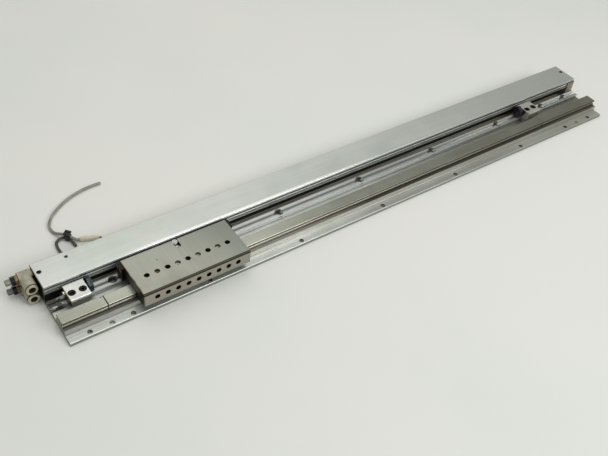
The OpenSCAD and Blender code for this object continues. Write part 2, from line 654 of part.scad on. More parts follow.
// Stopper bolt for holder i; way is 1 where its head points to +X
module stopper_bolt(i, way) color("silver") from_front()
    translate([holder_mids[i], stop_y, stop_z]) mirror([way > 0 ? 0 : 1, 0, 0]) difference() {
        union() {
            rod_x(-holder_l / 2 - stop_tail, 0, 0, holder_l + stop_tail + stop_gap + eps, stop_d);
            hex_x(holder_l / 2 + stop_gap, 0, 0, stop_head_t, stop_head_af);
        }
        hex_x(-holder_l / 2 - stop_tail - eps, 0, 0, stop_socket[0], stop_socket[1]);
        rod_x(holder_l / 2 + stop_gap + stop_head_t - bumper_plug, 0, 0, stop_head_t, stop_d);
    }
module stopper_bolt_left() stopper_bolt(0, 1);
module stopper_bolt_right() stopper_bolt(1, -1);
module bumper(i, way) color("midnightblue") from_front()
    translate([holder_mids[i], stop_y, stop_z]) mirror([way > 0 ? 0 : 1, 0, 0])
    translate([holder_l / 2 + stop_gap + stop_head_t, 0, 0]) {
        hex_x(0, 0, 0, bumper_t, stop_head_af);
        rod_x(-bumper_plug, 0, 0, bumper_plug + eps, stop_d - 2 * fit);
    }
module bumper_left() bumper(0, 1);
module bumper_right() bumper(1, -1);

// Speed controllers -----------------------------------------------------------
module elbow(z) color("antiquewhite") from_front() difference() {
    union() {
        rod_y(elbow_x, mouth_y, z, elbow_reach, elbow_d);
        rod_x(elbow_x - elbow_d / 2, port_front, z, elbow_d, elbow_d);
    }
    rod_x(elbow_x - elbow_d, port_front, z, 2 * elbow_d, barrel_d + 2 * fit);
    rod_y(elbow_x, mouth_y - eps, z, elbow_reach, air_tube_d / 2);
    rod_y(elbow_x, mouth_y - eps, z, elbow_reach - barrel_d / 2 - 0.6, air_tube_d + 2 * fit);
    rod_y(elbow_x, mouth_y - eps, z, ring_sleeve[1] + 2 * release_travel, ring_sleeve[0] + 2 * fit);
}
module elbow_upper() elbow(port_high_z);
module elbow_lower() elbow(port_low_z);
module elbow_stems() color("tan") from_front() for (z = ports_z) difference() {
    union() {
        rod_x(left_x - eps, port_front, z, stem_thread_l, stem_d);
        hex_x(left_x - stand_off + 0.1, port_front, z, stand_off - gasket_t - 0.1, stem_hex);
        rod_x(collar_x - eps, port_front, z, elbow_d + 0.4, barrel_d);
        rod_x(left_x - gasket_t - eps, port_front, z, gasket_t + 2 * eps, stem_d);
        rod_x(collar_x - collar[1], port_front, z, collar[1], collar[0]);
    }
    rod_x(collar_x - collar[1] - eps, port_front, z, collar[1] + elbow_d - 1, needle_d + 2 * fit);
    rod_y(elbow_x, port_front - barrel_d, z, barrel_d, passage_d);
}
module elbow_gaskets() color("black") from_front() for (z = ports_z)
    ring_x(left_x - gasket_t + 0.02, port_front, z, gasket_t - 0.04, gasket_d, stem_d + 2 * fit);
module needle_lock_nuts() color("black") from_front() for (z = ports_z) difference() {
    hex_x(nut_x - lock_nut[1], port_front, z, lock_nut[1], lock_nut[0]);
    rod_x(nut_x - lock_nut[1] - eps, port_front, z, lock_nut[1] + 1, needle_d + 2 * fit);
}
module needle_knob(z) color("gray") from_front() difference() {
    union() {
        rod_x(knob_x - knob[1], port_front, z, knob[1], knob[0]);
        rod_x(knob_x - eps, port_front, z, elbow_x - knob_x - 1, needle_d);
        translate([elbow_x - 1 - 2 * eps, port_front, z]) rotate([0, 90, 0])
            cylinder(h = needle_tip[0], d1 = needle_d, d2 = needle_tip[1]);
    }
    translate([knob_x - knob[1] - eps, port_front - knob[0], z - knob_slot[0] / 2])
        cube([knob_slot[1], 2 * knob[0], knob_slot[0]]);
}
module needle_knob_upper() needle_knob(port_high_z);
module needle_knob_lower() needle_knob(port_low_z);
module release_ring(z) color("ivory") from_front() difference() {
    union() {
        rod_y(elbow_x, ring_y - ring_flange[1], z, ring_flange[1], ring_flange[0]);
        rod_y(elbow_x, ring_y - eps, z, ring_sleeve[1], ring_sleeve[0]);
    }
    rod_y(elbow_x, ring_y - ring_flange[1] - eps, z, ring_sleeve[1] * 2, air_tube_d + 2 * fit);
}
module release_ring_upper() release_ring(port_high_z);
module release_ring_lower() release_ring(port_low_z);

// Switches and leads ----------------------------------------------------------
// Catmull-Rom curve through the points, n steps a stretch
function smooth(p, n) = [for (i = [0 : len(p) - 2], k = [0 : n - (i == len(p) - 2 ? 0 : 1)])
    let (a = p[max(i - 1, 0)], b = p[i], c = p[i + 1], d = p[min(i + 2, len(p) - 1)], t = k / n)
    0.5 * (2 * b + (c - a) * t + (2 * a - 5 * b + 4 * c - d) * t * t
        + (3 * b - a - 3 * c + d) * t * t * t)];
function unit(v) = v / norm(v);
module tube_along(p, d, sides = 8) {
    n = len(p);
    rings = [for (i = [0 : n - 1])
        let (t = unit(p[min(i + 1, n - 1)] - p[max(i - 1, 0)]),
            u = unit(cross(t, [0, 0, 1])), v = cross(u, t))
        for (k = [0 : sides - 1]) p[i] + d / 2 * (cos(360 * k / sides) * u + sin(360 * k / sides) * v)];
    polyhedron(rings, concat([[for (k = [sides - 1 : -1 : 0]) k]],
        [for (i = [0 : n - 2], k = [0 : sides - 1])
            [i * sides + (k + 1) % sides, (i + 1) * sides + (k + 1) % sides,
                (i + 1) * sides + k, i * sides + k]],
        [[for (k = [0 : sides - 1]) (n - 1) * sides + k]]));
}
module mounted_switch() color("dimgray") from_front()
    rod_x(left_x + mounted_x + 2 * fit, groove_y, groove_z, switch_l, groove_d - 2 * fit);
module mounted_switch_lead() color("gray") from_left() tube_along(smooth(mounted_path, 2), lead_d);
module loose_switch() color("antiquewhite") from_left()
    translate([loose_at[0], loose_at[1], 0]) rotate([0, 0, loose_angle]) hull() {
        translate([0, -switch_w / 2, 0.1]) cube([switch_l * 0.6, switch_w, switch_w]);
        translate([switch_l - 1, -switch_w / 4, 0.1]) cube([1, switch_w / 2, switch_w * 0.6]);
    }
module loose_switch_lead() color("gray") from_left() tube_along(smooth(loose_path, 2), lead_d);
module cable_tie() color("black") from_left() translate([tie_at[0], tie_at[1], 0]) rotate([0, 0, tie_turn]) {
    w = tie_strap[0];
    t = tie_strap[1];
    difference() {
        translate([-w / 2, -tie_in[0] - t, eps]) cube([w, 2 * (tie_in[0] + t), tie_in[1] + 2 * t + eps]);
        translate([-w, -tie_in[0], eps + t]) cube([2 * w, 2 * tie_in[0], tie_in[1]]);
    }
    translate([-tie_head[0] / 2, -tie_head[1] / 2, tie_in[1] + 2 * t + 2 * eps]) cube(tie_head);
}

// Table -----------------------------------------------------------------------
module deck_section() polygon([[table_front, front_skirt_z],
    [table_front, table_top - front_chamfer], [table_front + front_chamfer, table_top],
    [table_back - edge, table_top], [table_back, table_top - edge], [table_back, deck_z],
    [table_front + skirt_t, deck_z], [table_front + skirt_t, front_skirt_z]]);
module leg_section() {
    polygon([[table_front + leg_in, front_skirt_z], [table_front + skirt_t, skirt_z],
        [leg_ys[0], skirt_z], [leg_ys[0], deck_z + eps], [table_front + leg_in, deck_z + eps]]);
    translate([leg_ys[1], skirt_z]) square([rear_leg_back - leg_ys[1], deck_z - skirt_z + eps]);
}
module table() color("gray") on_table() difference() {
    union() {
        along_x(-table_l / 2, table_l) deck_section();
        along_x(-leg_l / 2, leg_l) leg_section();
    }
    for (y = track_ys) rod_x(-leg_l, y, track_z, 2 * leg_l, 2 * track_r);
    for (y = return_ys) rod_x(-leg_l, y, track_z, 2 * leg_l, 2 * track_r);
    for (i = [0 : row_count - 1]) {
        rod_z(row_xs[i], row_front, i % 2 == 0 ? table_top - tap_depth : 0, table_top, tap_d);
        rod_y(row_xs[i], table_front - eps, side_row_z, tap_depth + eps, tap_d);
    }
    translate([0, table_back - pin_slot_l + pin_slot_w / 2, table_top - pin_slot_depth]) {
        rod_z(0, 0, 0, table_top, pin_slot_w);
        translate([-pin_slot_w / 2, 0, 0]) cube([pin_slot_w, pin_slot_l, table_top]);
    }
    rod_z(0, pin_y, 0, table_top, pin_d + 2 * fit);
    rod_z(0, keeper_y, deck_z + 0.5, table_top, bracket_screw_d + 2 * fit);
    for (s = [-1, 1], y = plate_screw_ys)
        rod_x(s * leg_l / 2 - plate_screw_grip, y, plate_screw_z, 2 * plate_screw_grip,
            plate_screw_d + 2 * fit);
    for (s = [-1, 1], y = stop_screw_ys)
        rod_x(s * table_l / 2 - stop_screw_l - 1, y, stop_screw_z, 2 * (stop_screw_l + 1),
            stop_screw_d + 2 * fit);
}
// Outline shared by the return plates and seals, with clear room for the rail
module plate_section(room) difference() {
    translate([plate_front, skirt_z]) square([rear_leg_back - plate_front, deck_z - skirt_z]);
    translate([rail_front - room, 0]) square([rail_w + 2 * room, rail_top + room]);
}
module return_plate(s) color("darkslategray") on_table() mirror([s > 0 ? 0 : 1, 0, 0]) difference() {
    along_x(leg_l / 2, return_l) plate_section(plate_room);
    for (i = [0, 1]) translate([leg_l / 2, (track_ys[i] + return_ys[i]) / 2, track_z])
        rotate_extrude() translate([turn_r, 0]) circle(track_r);
    for (y = plate_screw_ys)
        rod_x(leg_l / 2 - 1, y, plate_screw_z, return_l + 2, plate_screw_d + 2 * fit);
}
module return_plate_left() return_plate(-1);
module return_plate_right() return_plate(1);
module end_seal(s) color("black") on_table() mirror([s > 0 ? 0 : 1, 0, 0]) difference() {
    along_x(leg_l / 2 + return_l, seal_t) plate_section(seal_room);
    for (y = plate_screw_ys)
        rod_x(leg_l / 2, y, plate_screw_z, return_l * 2, plate_screw_head[0] + 2 * fit);
}
module end_seal_left() end_seal(-1);
module end_seal_right() end_seal(1);
module end_plate_screws() color("dimgray") on_table() for (s = [-1, 1], y = plate_screw_ys)
    cap_screw_x(s * (leg_l / 2 + return_l), y, plate_screw_z, plate_screw_d,
        plate_screw_l, plate_screw_head, -s);
// Balls: each circuit runs down the loaded track, round a turn, back and round again
function on_loop(s) = s < leg_l ? [s - leg_l / 2, turn_r]
    : s < leg_l + PI * turn_r ? let (a = (s - leg_l) / turn_r * 180 / PI)
        [leg_l / 2 + turn_r * sin(a), turn_r * cos(a)]
    : s < 2 * leg_l + PI * turn_r ? [leg_l / 2 - (s - leg_l - PI * turn_r), -turn_r]
    : let (a = (s - 2 * leg_l - PI * turn_r) / turn_r * 180 / PI)
        [-leg_l / 2 - turn_r * sin(a), -turn_r * cos(a)];
module guide_balls() color("silver") on_table() for (i = [0, 1], k = [0 : loop_n - 1]) {
    p = on_loop((k + 0.5) * loop_l / loop_n);
    way = i == 0 ? 1 : -1;
    translate([p[0], (track_ys[i] + return_ys[i]) / 2 + way * p[1], track_z]) sphere(ball_r);
}
module stop_plate(s) color("dimgray") on_table() mirror([s > 0 ? 0 : 1, 0, 0]) difference() {
    translate([table_l / 2, stop_plate_ys[0], stop_plate_zs[0]])
        cube([stop_plate_t, stop_plate_ys[1] - stop_plate_ys[0], stop_plate_zs[1] - stop_plate_zs[0]]);
    for (y = stop_screw_ys) {
        rod_x(0, y, stop_screw_z, table_l, stop_screw_d + 2 * fit);
        rod_x(stop_screw_x, y, stop_screw_z, table_l, stop_screw_head[0] + 2 * fit);
    }
}
module stop_plate_left() stop_plate(-1);
module stop_plate_right() stop_plate(1);
module stop_plate_screws() color("goldenrod") on_table() for (s = [-1, 1], y = stop_screw_ys)
    cap_screw_x(s * stop_screw_x, y, stop_screw_z, stop_screw_d, stop_screw_l, stop_screw_head, -s);

// Coupling --------------------------------------------------------------------
module bracket_screw_places() for (s = [-1, 1]) translate([s * bracket_screw_x, pin_y, 0]) children();
module coupling_bracket() color("dimgray") on_table() difference() {
    translate([-bracket_l / 2, bracket_ys[0], tongue_z[1]])
        cube([bracket_l, bracket_ys[1] - bracket_ys[0], deck_z - tongue_z[1]]);
    rod_z(0, pin_y, 0, table_top, pin_d + 2 * fit);
    bracket_screw_places() {
        rod_z(0, 0, 0, table_top, bracket_screw_d + 2 * fit);
        rod_z(0, 0, bracket_seat_z, table_top, bracket_screw_head[0] + 2 * fit);
    }
}
module coupling_pin() color("white") on_table() {
    rod_z(0, pin_y, tongue_z[1] + 0.1, table_top - pin_slot_depth - tongue_z[1] - 0.1 + eps, pin_d);
    rod_z(0, pin_y, table_top - pin_slot_depth, pin_head[1], pin_head[0]);
}
module coupling_screws() color("lightgray") on_table() {
    bracket_screw_places() cap_screw(0, 0, bracket_seat_z, bracket_screw_d,
        bracket_seat_z - tongue_z[0] - 2 * gap, bracket_screw_head);
    cap_screw(0, keeper_y, table_top - pin_slot_depth, bracket_screw_d, keeper_l, keeper_head);
}

// Magnet slider ---------------------------------------------------------------
module slider_body() color("silver") on_table() difference() {
    union() {
        translate([-slider_l / 2, slider_front, tube_z - slider_h / 2]) cube([slider_l, slider_w, slider_h]);
        translate([-bracket_l / 2, bracket_ys[0], tongue_z[0]])
            cube([bracket_l, slider_front - bracket_ys[0] + 1, tongue_z[1] - tongue_z[0]]);
    }
    rod_x(-slider_l, tube_front, tube_z, 2 * slider_l, slider_bore);
    bracket_screw_places() rod_z(0, 0, 0, table_top, bracket_screw_d + 2 * fit);
}
module outer_magnets() color("dimgray") on_table()
    for (i = [0 : magnets - 1])
        ring_x(-stack_l / 2 + pole_l + i * (magnet_l + pole_l), tube_front, tube_z, magnet_l,
            magnet_od, magnet_id);
module outer_poles() color("gray") on_table()
    for (i = [0 : magnets])
        ring_x(-stack_l / 2 + i * (magnet_l + pole_l), tube_front, tube_z, pole_l,
            magnet_od, magnet_id);
module slider_wear_rings() color("tan") on_table()
    for (x = [-slider_l / 2, slider_l / 2 - wear_l])
        ring_x(x, tube_front, tube_z, wear_l, magnet_od, tube_od + 2 * fit);

// Piston ----------------------------------------------------------------------
module piston_shaft() color("silver") on_table()
    rod_x(-piston_l / 2 + 1, tube_front, tube_z, piston_l - 2, shaft_d);
module inner_magnets() color("dimgray") on_table()
    for (i = [0 : magnets - 1])
        ring_x(-stack_l / 2 + pole_l + i * (magnet_l + pole_l), tube_front, tube_z, magnet_l,
            inner_od, shaft_d + 2 * fit);
module inner_poles() color("gray") on_table()
    for (i = [0 : magnets])
        ring_x(-stack_l / 2 + i * (magnet_l + pole_l), tube_front, tube_z, pole_l,
            inner_od, shaft_d + 2 * fit);
module piston_heads() color("silver") on_table() for (s = [-1, 1]) difference() {
    rod_x(s > 0 ? stack_l / 2 : -piston_l / 2, tube_front, tube_z, piston_head_l, piston_od);
    rod_x(-piston_l, tube_front, tube_z, 2 * piston_l, shaft_d + 2 * fit);
    torus_x(s * (stack_l / 2 + piston_head_l / 2), tube_front, tube_z,
        bore_d / 2 - seal_r, seal_r + fit);
}
module piston_seals() color("black") on_table() for (s = [-1, 1])
    torus_x(s * (stack_l / 2 + piston_head_l / 2), tube_front, tube_z,
        bore_d / 2 - seal_r - 0.02, seal_r);

base();
guide_rail();
rail_end_left();
rail_end_right();
rail_screws();
tube_cover();
cover_screws();
head_cover_left();
head_cover_right();
head_screws();
cylinder_tube();
tube_seals();
end_bumpers();
air_pipe();
stopper_holder_left();
stopper_holder_right();
holder_clamps();
holder_screws();
stopper_bolt_left();
stopper_bolt_right();
bumper_left();
bumper_right();
elbow_upper();
elbow_lower();
elbow_stems();
elbow_gaskets();
needle_lock_nuts();
needle_knob_upper();
needle_knob_lower();
release_ring_upper();
release_ring_lower();
mounted_switch();
mounted_switch_lead();
loose_switch();
loose_switch_lead();
cable_tie();
table();
return_plate_left();
return_plate_right();
end_seal_left();
end_seal_right();
end_plate_screws();
guide_balls();
stop_plate_left();
stop_plate_right();
stop_plate_screws();
coupling_bracket();
coupling_pin();
coupling_screws();
slider_body();
outer_magnets();
outer_poles();
slider_wear_rings();
piston_shaft();
inner_magnets();
inner_poles();
piston_heads();
piston_seals();
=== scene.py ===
"""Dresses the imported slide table: studio, switch leads, finishes and fine detail. Metres, +Z up."""

import logging
import math
from dataclasses import dataclass
from enum import Enum
from functools import cached_property
from typing import Callable, Optional, Sequence, Union

import bpy
from mathutils import Matrix, Vector


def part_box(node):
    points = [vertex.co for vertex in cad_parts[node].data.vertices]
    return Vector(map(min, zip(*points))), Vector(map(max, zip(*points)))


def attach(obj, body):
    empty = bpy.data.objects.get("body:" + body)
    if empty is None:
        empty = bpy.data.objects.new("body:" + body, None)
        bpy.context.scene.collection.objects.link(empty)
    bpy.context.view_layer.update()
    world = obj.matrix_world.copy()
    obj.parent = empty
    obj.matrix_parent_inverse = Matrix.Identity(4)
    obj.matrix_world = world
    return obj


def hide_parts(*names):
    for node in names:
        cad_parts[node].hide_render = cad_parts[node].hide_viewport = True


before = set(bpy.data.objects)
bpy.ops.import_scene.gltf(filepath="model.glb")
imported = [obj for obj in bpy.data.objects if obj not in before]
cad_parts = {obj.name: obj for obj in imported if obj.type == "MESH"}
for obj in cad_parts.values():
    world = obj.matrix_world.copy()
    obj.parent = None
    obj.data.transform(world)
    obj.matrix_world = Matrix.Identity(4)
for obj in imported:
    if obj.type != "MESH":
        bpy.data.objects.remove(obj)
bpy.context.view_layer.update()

MM = 0.001
BEYOND = 9.0  # A place, in metres, that no surface of the part reaches.
LOG = logging.getLogger("slide_table")

Colour = tuple[float, float, float]
Point = tuple[float, float, float]
Pair = tuple[float, float]
Value = Union[float, "Signal"]
Tone = Union[Colour, "Signal"]
Coat = tuple[Value, Tone]


def linear(colour: Colour) -> tuple[float, float, float, float]:
    """Turns a screen colour into the linear one that shader sockets take.

    Args:
        colour: Red, green and blue from 0 to 255.

    Returns:
        The linear colour with an alpha of 1.
    """
    parts = [c / 255 for c in colour]
    low = [c / 12.92 if c <= 0.04045 else ((c + 0.055) / 1.055) ** 2.4 for c in parts]
    return low[0], low[1], low[2], 1.0


class Signal:
    """One output socket that takes part in arithmetic."""

    def __init__(self, graph: "Graph", socket: bpy.types.NodeSocket) -> None:
        """Wraps an output socket of a graph's node."""
        self.graph = graph
        self.socket = socket

    def __add__(self, other: Value) -> "Signal":
        """Adds a value."""
        return self.graph.math("ADD", self, other)

    def __sub__(self, other: Value) -> "Signal":
        """Takes a value away."""
        return self.graph.math("SUBTRACT", self, other)

    def __rsub__(self, other: Value) -> "Signal":
        """Takes this away from a value."""
        return self.graph.math("SUBTRACT", other, self)

    def __mul__(self, other: Value) -> "Signal":
        """Multiplies by a value."""
        return self.graph.math("MULTIPLY", self, other)

    def __pow__(self, power: Value) -> "Signal":
        """Raises to a power."""
        return self.graph.math("POWER", self, power)

    def __or__(self, other: Value) -> "Signal":
        """Gives the greater of the two, so that either mask counts."""
        return self.graph.math("MAXIMUM", self, other)

    __radd__ = __add__
    __rmul__ = __mul__

    def size(self) -> "Signal":
        """Gives the value without its sign."""
        return self.graph.math("ABSOLUTE", self)

    def diagonal(self, other: "Signal") -> "Signal":
        """Gives the length of the diagonal whose sides are the two."""
        return (self**2.0 + other**2.0) ** 0.5

    def ramp(self, low: float, high: float) -> "Signal":
        """Rises smoothly from 0 at low to 1 at high, which may be the smaller of the two."""
        ends = {"Value": self, "From Min": low, "From Max": high}
        return self.graph.node("MapRange", {"interpolation_type": "SMOOTHSTEP"}, ends)

    def step(self, low: float, high: float, start: float = 0.0) -> "Signal":
        """Makes a ramp between two places, in millimetres from start, which is in metres."""
        return self.ramp(start + low * MM, start + high * MM)

    def band(self, low: float, high: float, soft: float = 0.1, start: float = 0.0) -> "Signal":
        """Gives 1 between two places and 0 outside, in millimetres from start, which is in metres."""
        return self.step(low - soft, low, start) * self.step(high + soft, high, start)


class Graph:
    """The node tree of one material, written as expressions."""

    BEVEL_SAMPLES = 4
    CORNER_SAMPLES = 6

    def __init__(self, tree: bpy.types.NodeTree) -> None:
        """Starts from an empty tree."""
        self.tree = tree
        tree.nodes.clear()

    def node(
        self,
        kind: str,
        settings: Optional[dict[str, object]] = None,
        inputs: Optional[dict[Union[str, int], object]] = None,
        output: Union[str, int] = 0,
    ) -> Signal:
        """Adds one node, its settings first and then its sockets.

        Args:
            kind: The node's type, without its ShaderNode prefix.
            settings: The node's own properties.
            inputs: A value or a Signal for each named or numbered socket.
            output: The socket that the result stands for.

        Returns:
            The chosen output.
        """
        made = self.tree.nodes.new("ShaderNode" + kind)
        for name, value in (settings or {}).items():
            setattr(made, name, value)
        for name, value in (inputs or {}).items():
            if isinstance(value, Signal):
                self.tree.links.new(value.socket, made.inputs[name])
            else:
                made.inputs[name].default_value = value
        return Signal(self, made.outputs[output] if len(made.outputs) else None)

    def math(self, operation: str, *terms: Value) -> Signal:
        """Adds a Math node over the terms."""
        return self.node("Math", {"operation": operation}, dict(enumerate(terms)))

    @cached_property
    def place(self) -> Signal:
        """The point on the piece, in its own frame."""
        return self.node("TexCoord", output="Object")

    @cached_property
    def axes(self) -> tuple[Signal, ...]:
        """The point's X, Y and Z."""
        outputs = self.node("SeparateXYZ", None, {0: self.place}).socket.node.outputs
        return tuple(Signal(self, output) for output in outputs)

    def away(self, first: float, second: float, ways: str = "xy") -> Signal:
        """Gives the distance from a line that crosses two ways, X and Y unless named, at two places."""
        one, other = (self.axes["xyz".index(way)] for way in ways)
        return (one - first).diagonal(other - second)

    def noise(
        self, size: float, stretch: Point = (1.0, 1.0, 1.0), detail: float = 2.0, rough: float = 0.5
    ) -> Signal:
        """Gives smooth noise from about 0.3 to 0.7.

        Args:
            size: How large its features are, in metres.
            stretch: How much finer it gets along each axis; under 1 draws it out.
            detail: How many finer layers it has.
            rough: How strong the finer layers are.

        Returns:
            The noise.
        """
        vector = self.node("VectorMath", {"operation": "MULTIPLY"}, {0: self.place, 1: stretch})
        values = {"Vector": vector, "Scale": 1 / size, "Detail": detail, "Roughness": rough}
        return self.node("TexNoise", None, values)

    def wander(
        self, reach: float, size: float, stretch: Point = (1.0, 1.0, 1.0), detail: float = 3.0
    ) -> Signal:
        """Gives noise about 0, within half of reach, which makes an edge wander when added to a place."""
        return (self.noise(size, stretch, detail) - 0.5) * reach

    def mix(self, share: Value, first: Tone, second: Tone) -> Signal:
        """Blends two screen colours or Signals, from a share of 0 for the first to 1 for the second."""
        first, second = (t if isinstance(t, Signal) else linear(t) for t in (first, second))
        return self.node("Mix", {"data_type": "RGBA"}, {0: share, 6: first, 7: second}, 2)

    def layers(self, ground: Signal, coats: Sequence[Coat]) -> Signal:
        """Lays coats over a ground colour, in order.

        Args:
            ground: The colour underneath.
            coats: The share, from 0 to 1, and the colour of each coat.

        Returns:
            The colour on top.
        """
        for share, tone in coats:
            ground = self.mix(share, ground, tone)
        return ground

    def rounded(self, radius: float) -> Signal:
        """Gives the normal as it is with every edge rounded to a radius."""
        return self.node("Bevel", {"samples": self.BEVEL_SAMPLES}, {"Radius": radius})

    def corners(self, reach: float) -> Signal:
        """Gives 1 deep in corners and holes, within a reach, and 0 in the open."""
        open_sky = self.node("AmbientOcclusion", {"samples": self.CORNER_SAMPLES}, {"Distance": reach}, "AO")
        return open_sky.ramp(0.8, 0.3)

    def edges(self, radius: float) -> Signal:
        """Gives 1 on outer edges, within a radius, and 0 elsewhere."""
        normals = {0: self.rounded(radius), 1: self.node("NewGeometry", output="Normal")}
        return self.node("VectorMath", {"operation": "DOT_PRODUCT"}, normals, "Value").ramp(0.995, 0.86)


def material(name: str, sockets: Callable[[Graph], dict[str, object]]) -> bpy.types.Material:
    """Makes a material with one shader.

    Args:
        name: The material's name.
        sockets: Gives the shader's values, by socket, in the material's graph.

    Returns:
        The material.
    """
    made = bpy.data.materials.new(name)
    made.use_nodes = True
    graph = Graph(made.node_tree)
    surface = graph.node("BsdfPrincipled", None, sockets(graph))
    graph.node("OutputMaterial", None, {"Surface": surface})
    return made


def stand(name: str, data: bpy.types.ID) -> bpy.types.Object:
    """Makes an object and puts it into the scene.

    Args:
        name: The object's name.
        data: Its mesh, curve, lamp or camera.

    Returns:
        The object.
    """
    made = bpy.data.objects.new(name, data)
    bpy.context.scene.collection.objects.link(made)
    return made


class Grain(Enum):
    """How the fine relief of a surface runs: its stretch along X, Y and Z."""

    EVEN = (1.0, 1.0, 1.0)
    ALONG = (0.02, 1.0, 1.0)
    ACROSS = (1.0, 0.03, 0.05)
    UPRIGHT = (1.0, 1.0, 0.04)


@dataclass(frozen=True)
class Finish:
    """One procedural finish. Colours run from 0 to 255 and lengths are in metres."""

    name: str
    light: Colour
    dark: Colour
    metallic: float = 0.0
    roughness: float = 0.5
    spread: float = 0.08
    patch: float = 0.004
    grain: Grain = Grain.EVEN
    grain_size: float = 0.8 * MM
    grain_depth: float = 0.01 * MM
    worn: Optional[Colour] = None
    worn_width: float = 0.4 * MM
    stain: Optional[Colour] = None
    stain_size: float = 0.03
    stain_share: float = 0.4
    rounding: float = 0.3 * MM
    # Grime with painted shade: a colour laid deep in corners and holes, how far it reaches and how strongly.
    grime_and_shade: Optional[Colour] = None
    grime_and_shade_reach: float = 3.0 * MM
    grime_and_shade_share: float = 0.7

    def ground(self, graph: Graph) -> Signal:
        """Gives the ground colour, uneven in patches and along the grain.

        Args:
            graph: The material's graph.

        Returns:
            The colour.
        """
        patches = graph.noise(self.patch, detail=3.0)
        grain = graph.noise(self.grain_size * 2.5, self.grain.value, 3.0, 0.6)
        shade = (patches * 0.55 + grain * 0.45).ramp(0.34, 0.66)
        return graph.mix(shade, self.dark, self.light)

    def coats(self, graph: Graph) -> list[Coat]:
        """Gives what lies over the ground colour: stains, rubbed edges, and grime with painted shade in the
        corners.

        Args:
            graph: The material's graph.

        Returns:
            The coats, the lowest first.
        """
        coats = []
        if self.stain is not None:
            spots = graph.noise(self.stain_size, (0.5, 1.0, 1.0), 4.0, 0.6).ramp(0.5, 0.72)
            coats.append((spots * self.stain_share, self.stain))
        if self.worn is not None:
            rubbed = graph.edges(self.worn_width) * graph.noise(2 * MM, detail=3.0).ramp(0.35, 0.55)
            coats.append((rubbed, self.worn))
        # Grime and painted shade: darker deep in corners and holes, where dirt gathers and shade falls.
        if self.grime_and_shade is not None:
            coats.append((graph.corners(self.grime_and_shade_reach) * self.grime_and_shade_share, self.grime_and_shade))
        return coats

    def gloss(self, graph: Graph) -> Signal:
        """Gives the roughness, uneven from handling."""
        stretch = self.grain.value if self.metallic else Grain.EVEN.value
        return self.roughness + graph.wander(2.0 * self.spread, self.patch * 0.6, stretch)

    def metal(self, graph: Graph) -> Value:
        """Gives how metallic the surface is: the same all over unless a finish says more."""
        return self.metallic

    def height(self, graph: Graph) -> Signal:
        """Gives the fine relief, from 0 to 1."""
        return graph.noise(self.grain_size, self.grain.value, 2.0, 0.6)

    def sockets(self, graph: Graph) -> dict[str, object]:
        """Gives the shader's values.

        Args:
            graph: The material's graph.

        Returns:
            The value of each socket.
        """
        relief = {
            "Strength": 1.0,
            "Distance": self.grain_depth,
            "Height": self.height(graph),
            "Normal": graph.rounded(self.rounding),
        }
        return {
            "Base Color": graph.layers(self.ground(graph), self.coats(graph)),
            "Metallic": self.metal(graph),
            "Roughness": self.gloss(graph),
            "Normal": graph.node("Bump", None, relief),
        }

    def build(self) -> bpy.types.Material:
        """Makes the material once, and gives it again when asked again."""
        return bpy.data.materials.get(self.name) or material(self.name, self.sockets)


@dataclass(frozen=True)
class TableSteel(Finish):
    """Ground steel of the table. Its two corners are in metres, its rows, holes and dot in millimetres."""

    low: Point = (0.0, 0.0, 0.0)
    high: Point = (0.0, 0.0, 0.0)
    pitch: float = 10.0
    hole: float = 2.5
    top_row: float = 19.5
    side_row: float = 8.1
    side_depth: float = 8.0
    thread: float = 0.8
    thread_relief: float = 6.0
    dot: Pair = (28.3, 31.3)

    @property
    def middle(self) -> float:
        """The table's middle along X, in metres."""
        return (self.low[0] + self.high[0]) / 2

    def inside(self, graph: Graph) -> tuple[Signal, Signal]:
        """Gives 1 on the walls of the holes.

        Args:
            graph: The material's graph.

        Returns:
            The mask of the top row and that of the side row.
        """
        x, y, z = graph.axes
        half = self.pitch * MM / 2
        along = graph.math("WRAP", x - self.middle, half, -half)
        top = along.diagonal(y - (self.low[1] + self.top_row * MM))
        side = along.diagonal(z - (self.high[2] - self.side_row * MM))
        walls = self.hole + 0.15, self.hole + 0.05
        below = z.step(-0.1, -0.3, self.high[2])
        behind = y.step(0.1, 0.3, self.low[1])
        deep = y.step(self.side_depth + 1, self.side_depth, self.low[1])
        return top.step(*walls) * below, side.step(*walls) * behind * deep

    def coats(self, graph: Graph) -> list[Coat]:
        """Adds the oily end, the darker far end, the bronze front edge, painted shade on the walls of the
        holes and the slot, and a punch dot.

        Args:
            graph: The material's graph.

        Returns:
            The coats, the lowest first.
        """
        x, y, z = graph.axes
        left, front, _ = self.low
        right, rear, top = self.high
        film = (x + graph.wander(1.8 * MM, 6 * MM, detail=4.0)).step(1.2, 0.3, left)
        far = (x + y * 0.8 + graph.wander(0.03, 0.03)).step(-80, 0, right)
        bronze = y.step(1.6, 1.3, front) * z.step(-2.7, -2.3, top)
        top_walls, side_walls = self.inside(graph)
        slot = (x - self.middle).size().step(2.8, 2.6) * y.step(-11.0, -10.8, rear)
        dot = graph.away(left + self.dot[0] * MM, front + self.dot[1] * MM)
        return [
            *super().coats(graph),
            (film * 0.85, (74, 54, 38)),
            (far * 0.75, (134, 138, 130)),
            (y.step(0.5, 0.2, front) * 0.45, (176, 164, 152)),
            (bronze * 0.97, (38, 32, 23)),
            # Painted shade on the walls of the holes and of the slot.
            (top_walls * 0.7, (92, 92, 82)),
            (side_walls * 0.7, (44, 41, 36)),
            (slot * z.band(-5.3, -0.3, start=top) * 0.95, (30, 28, 25)),
            (dot.step(0.75, 0.45), (40, 38, 34)),
        ]

    def height(self, graph: Graph) -> Signal:
        """Adds the threads in the holes to the ground relief.

        Args:
            graph: The material's graph.

        Returns:
            The relief.
        """
        _, y, z = graph.axes
        top, side = self.inside(graph)
        turns = 2 * math.pi / (self.thread * MM)
        threads = graph.math("SINE", z * turns) * top + graph.math("SINE", y * turns) * side
        return super().height(graph) + threads * self.thread_relief


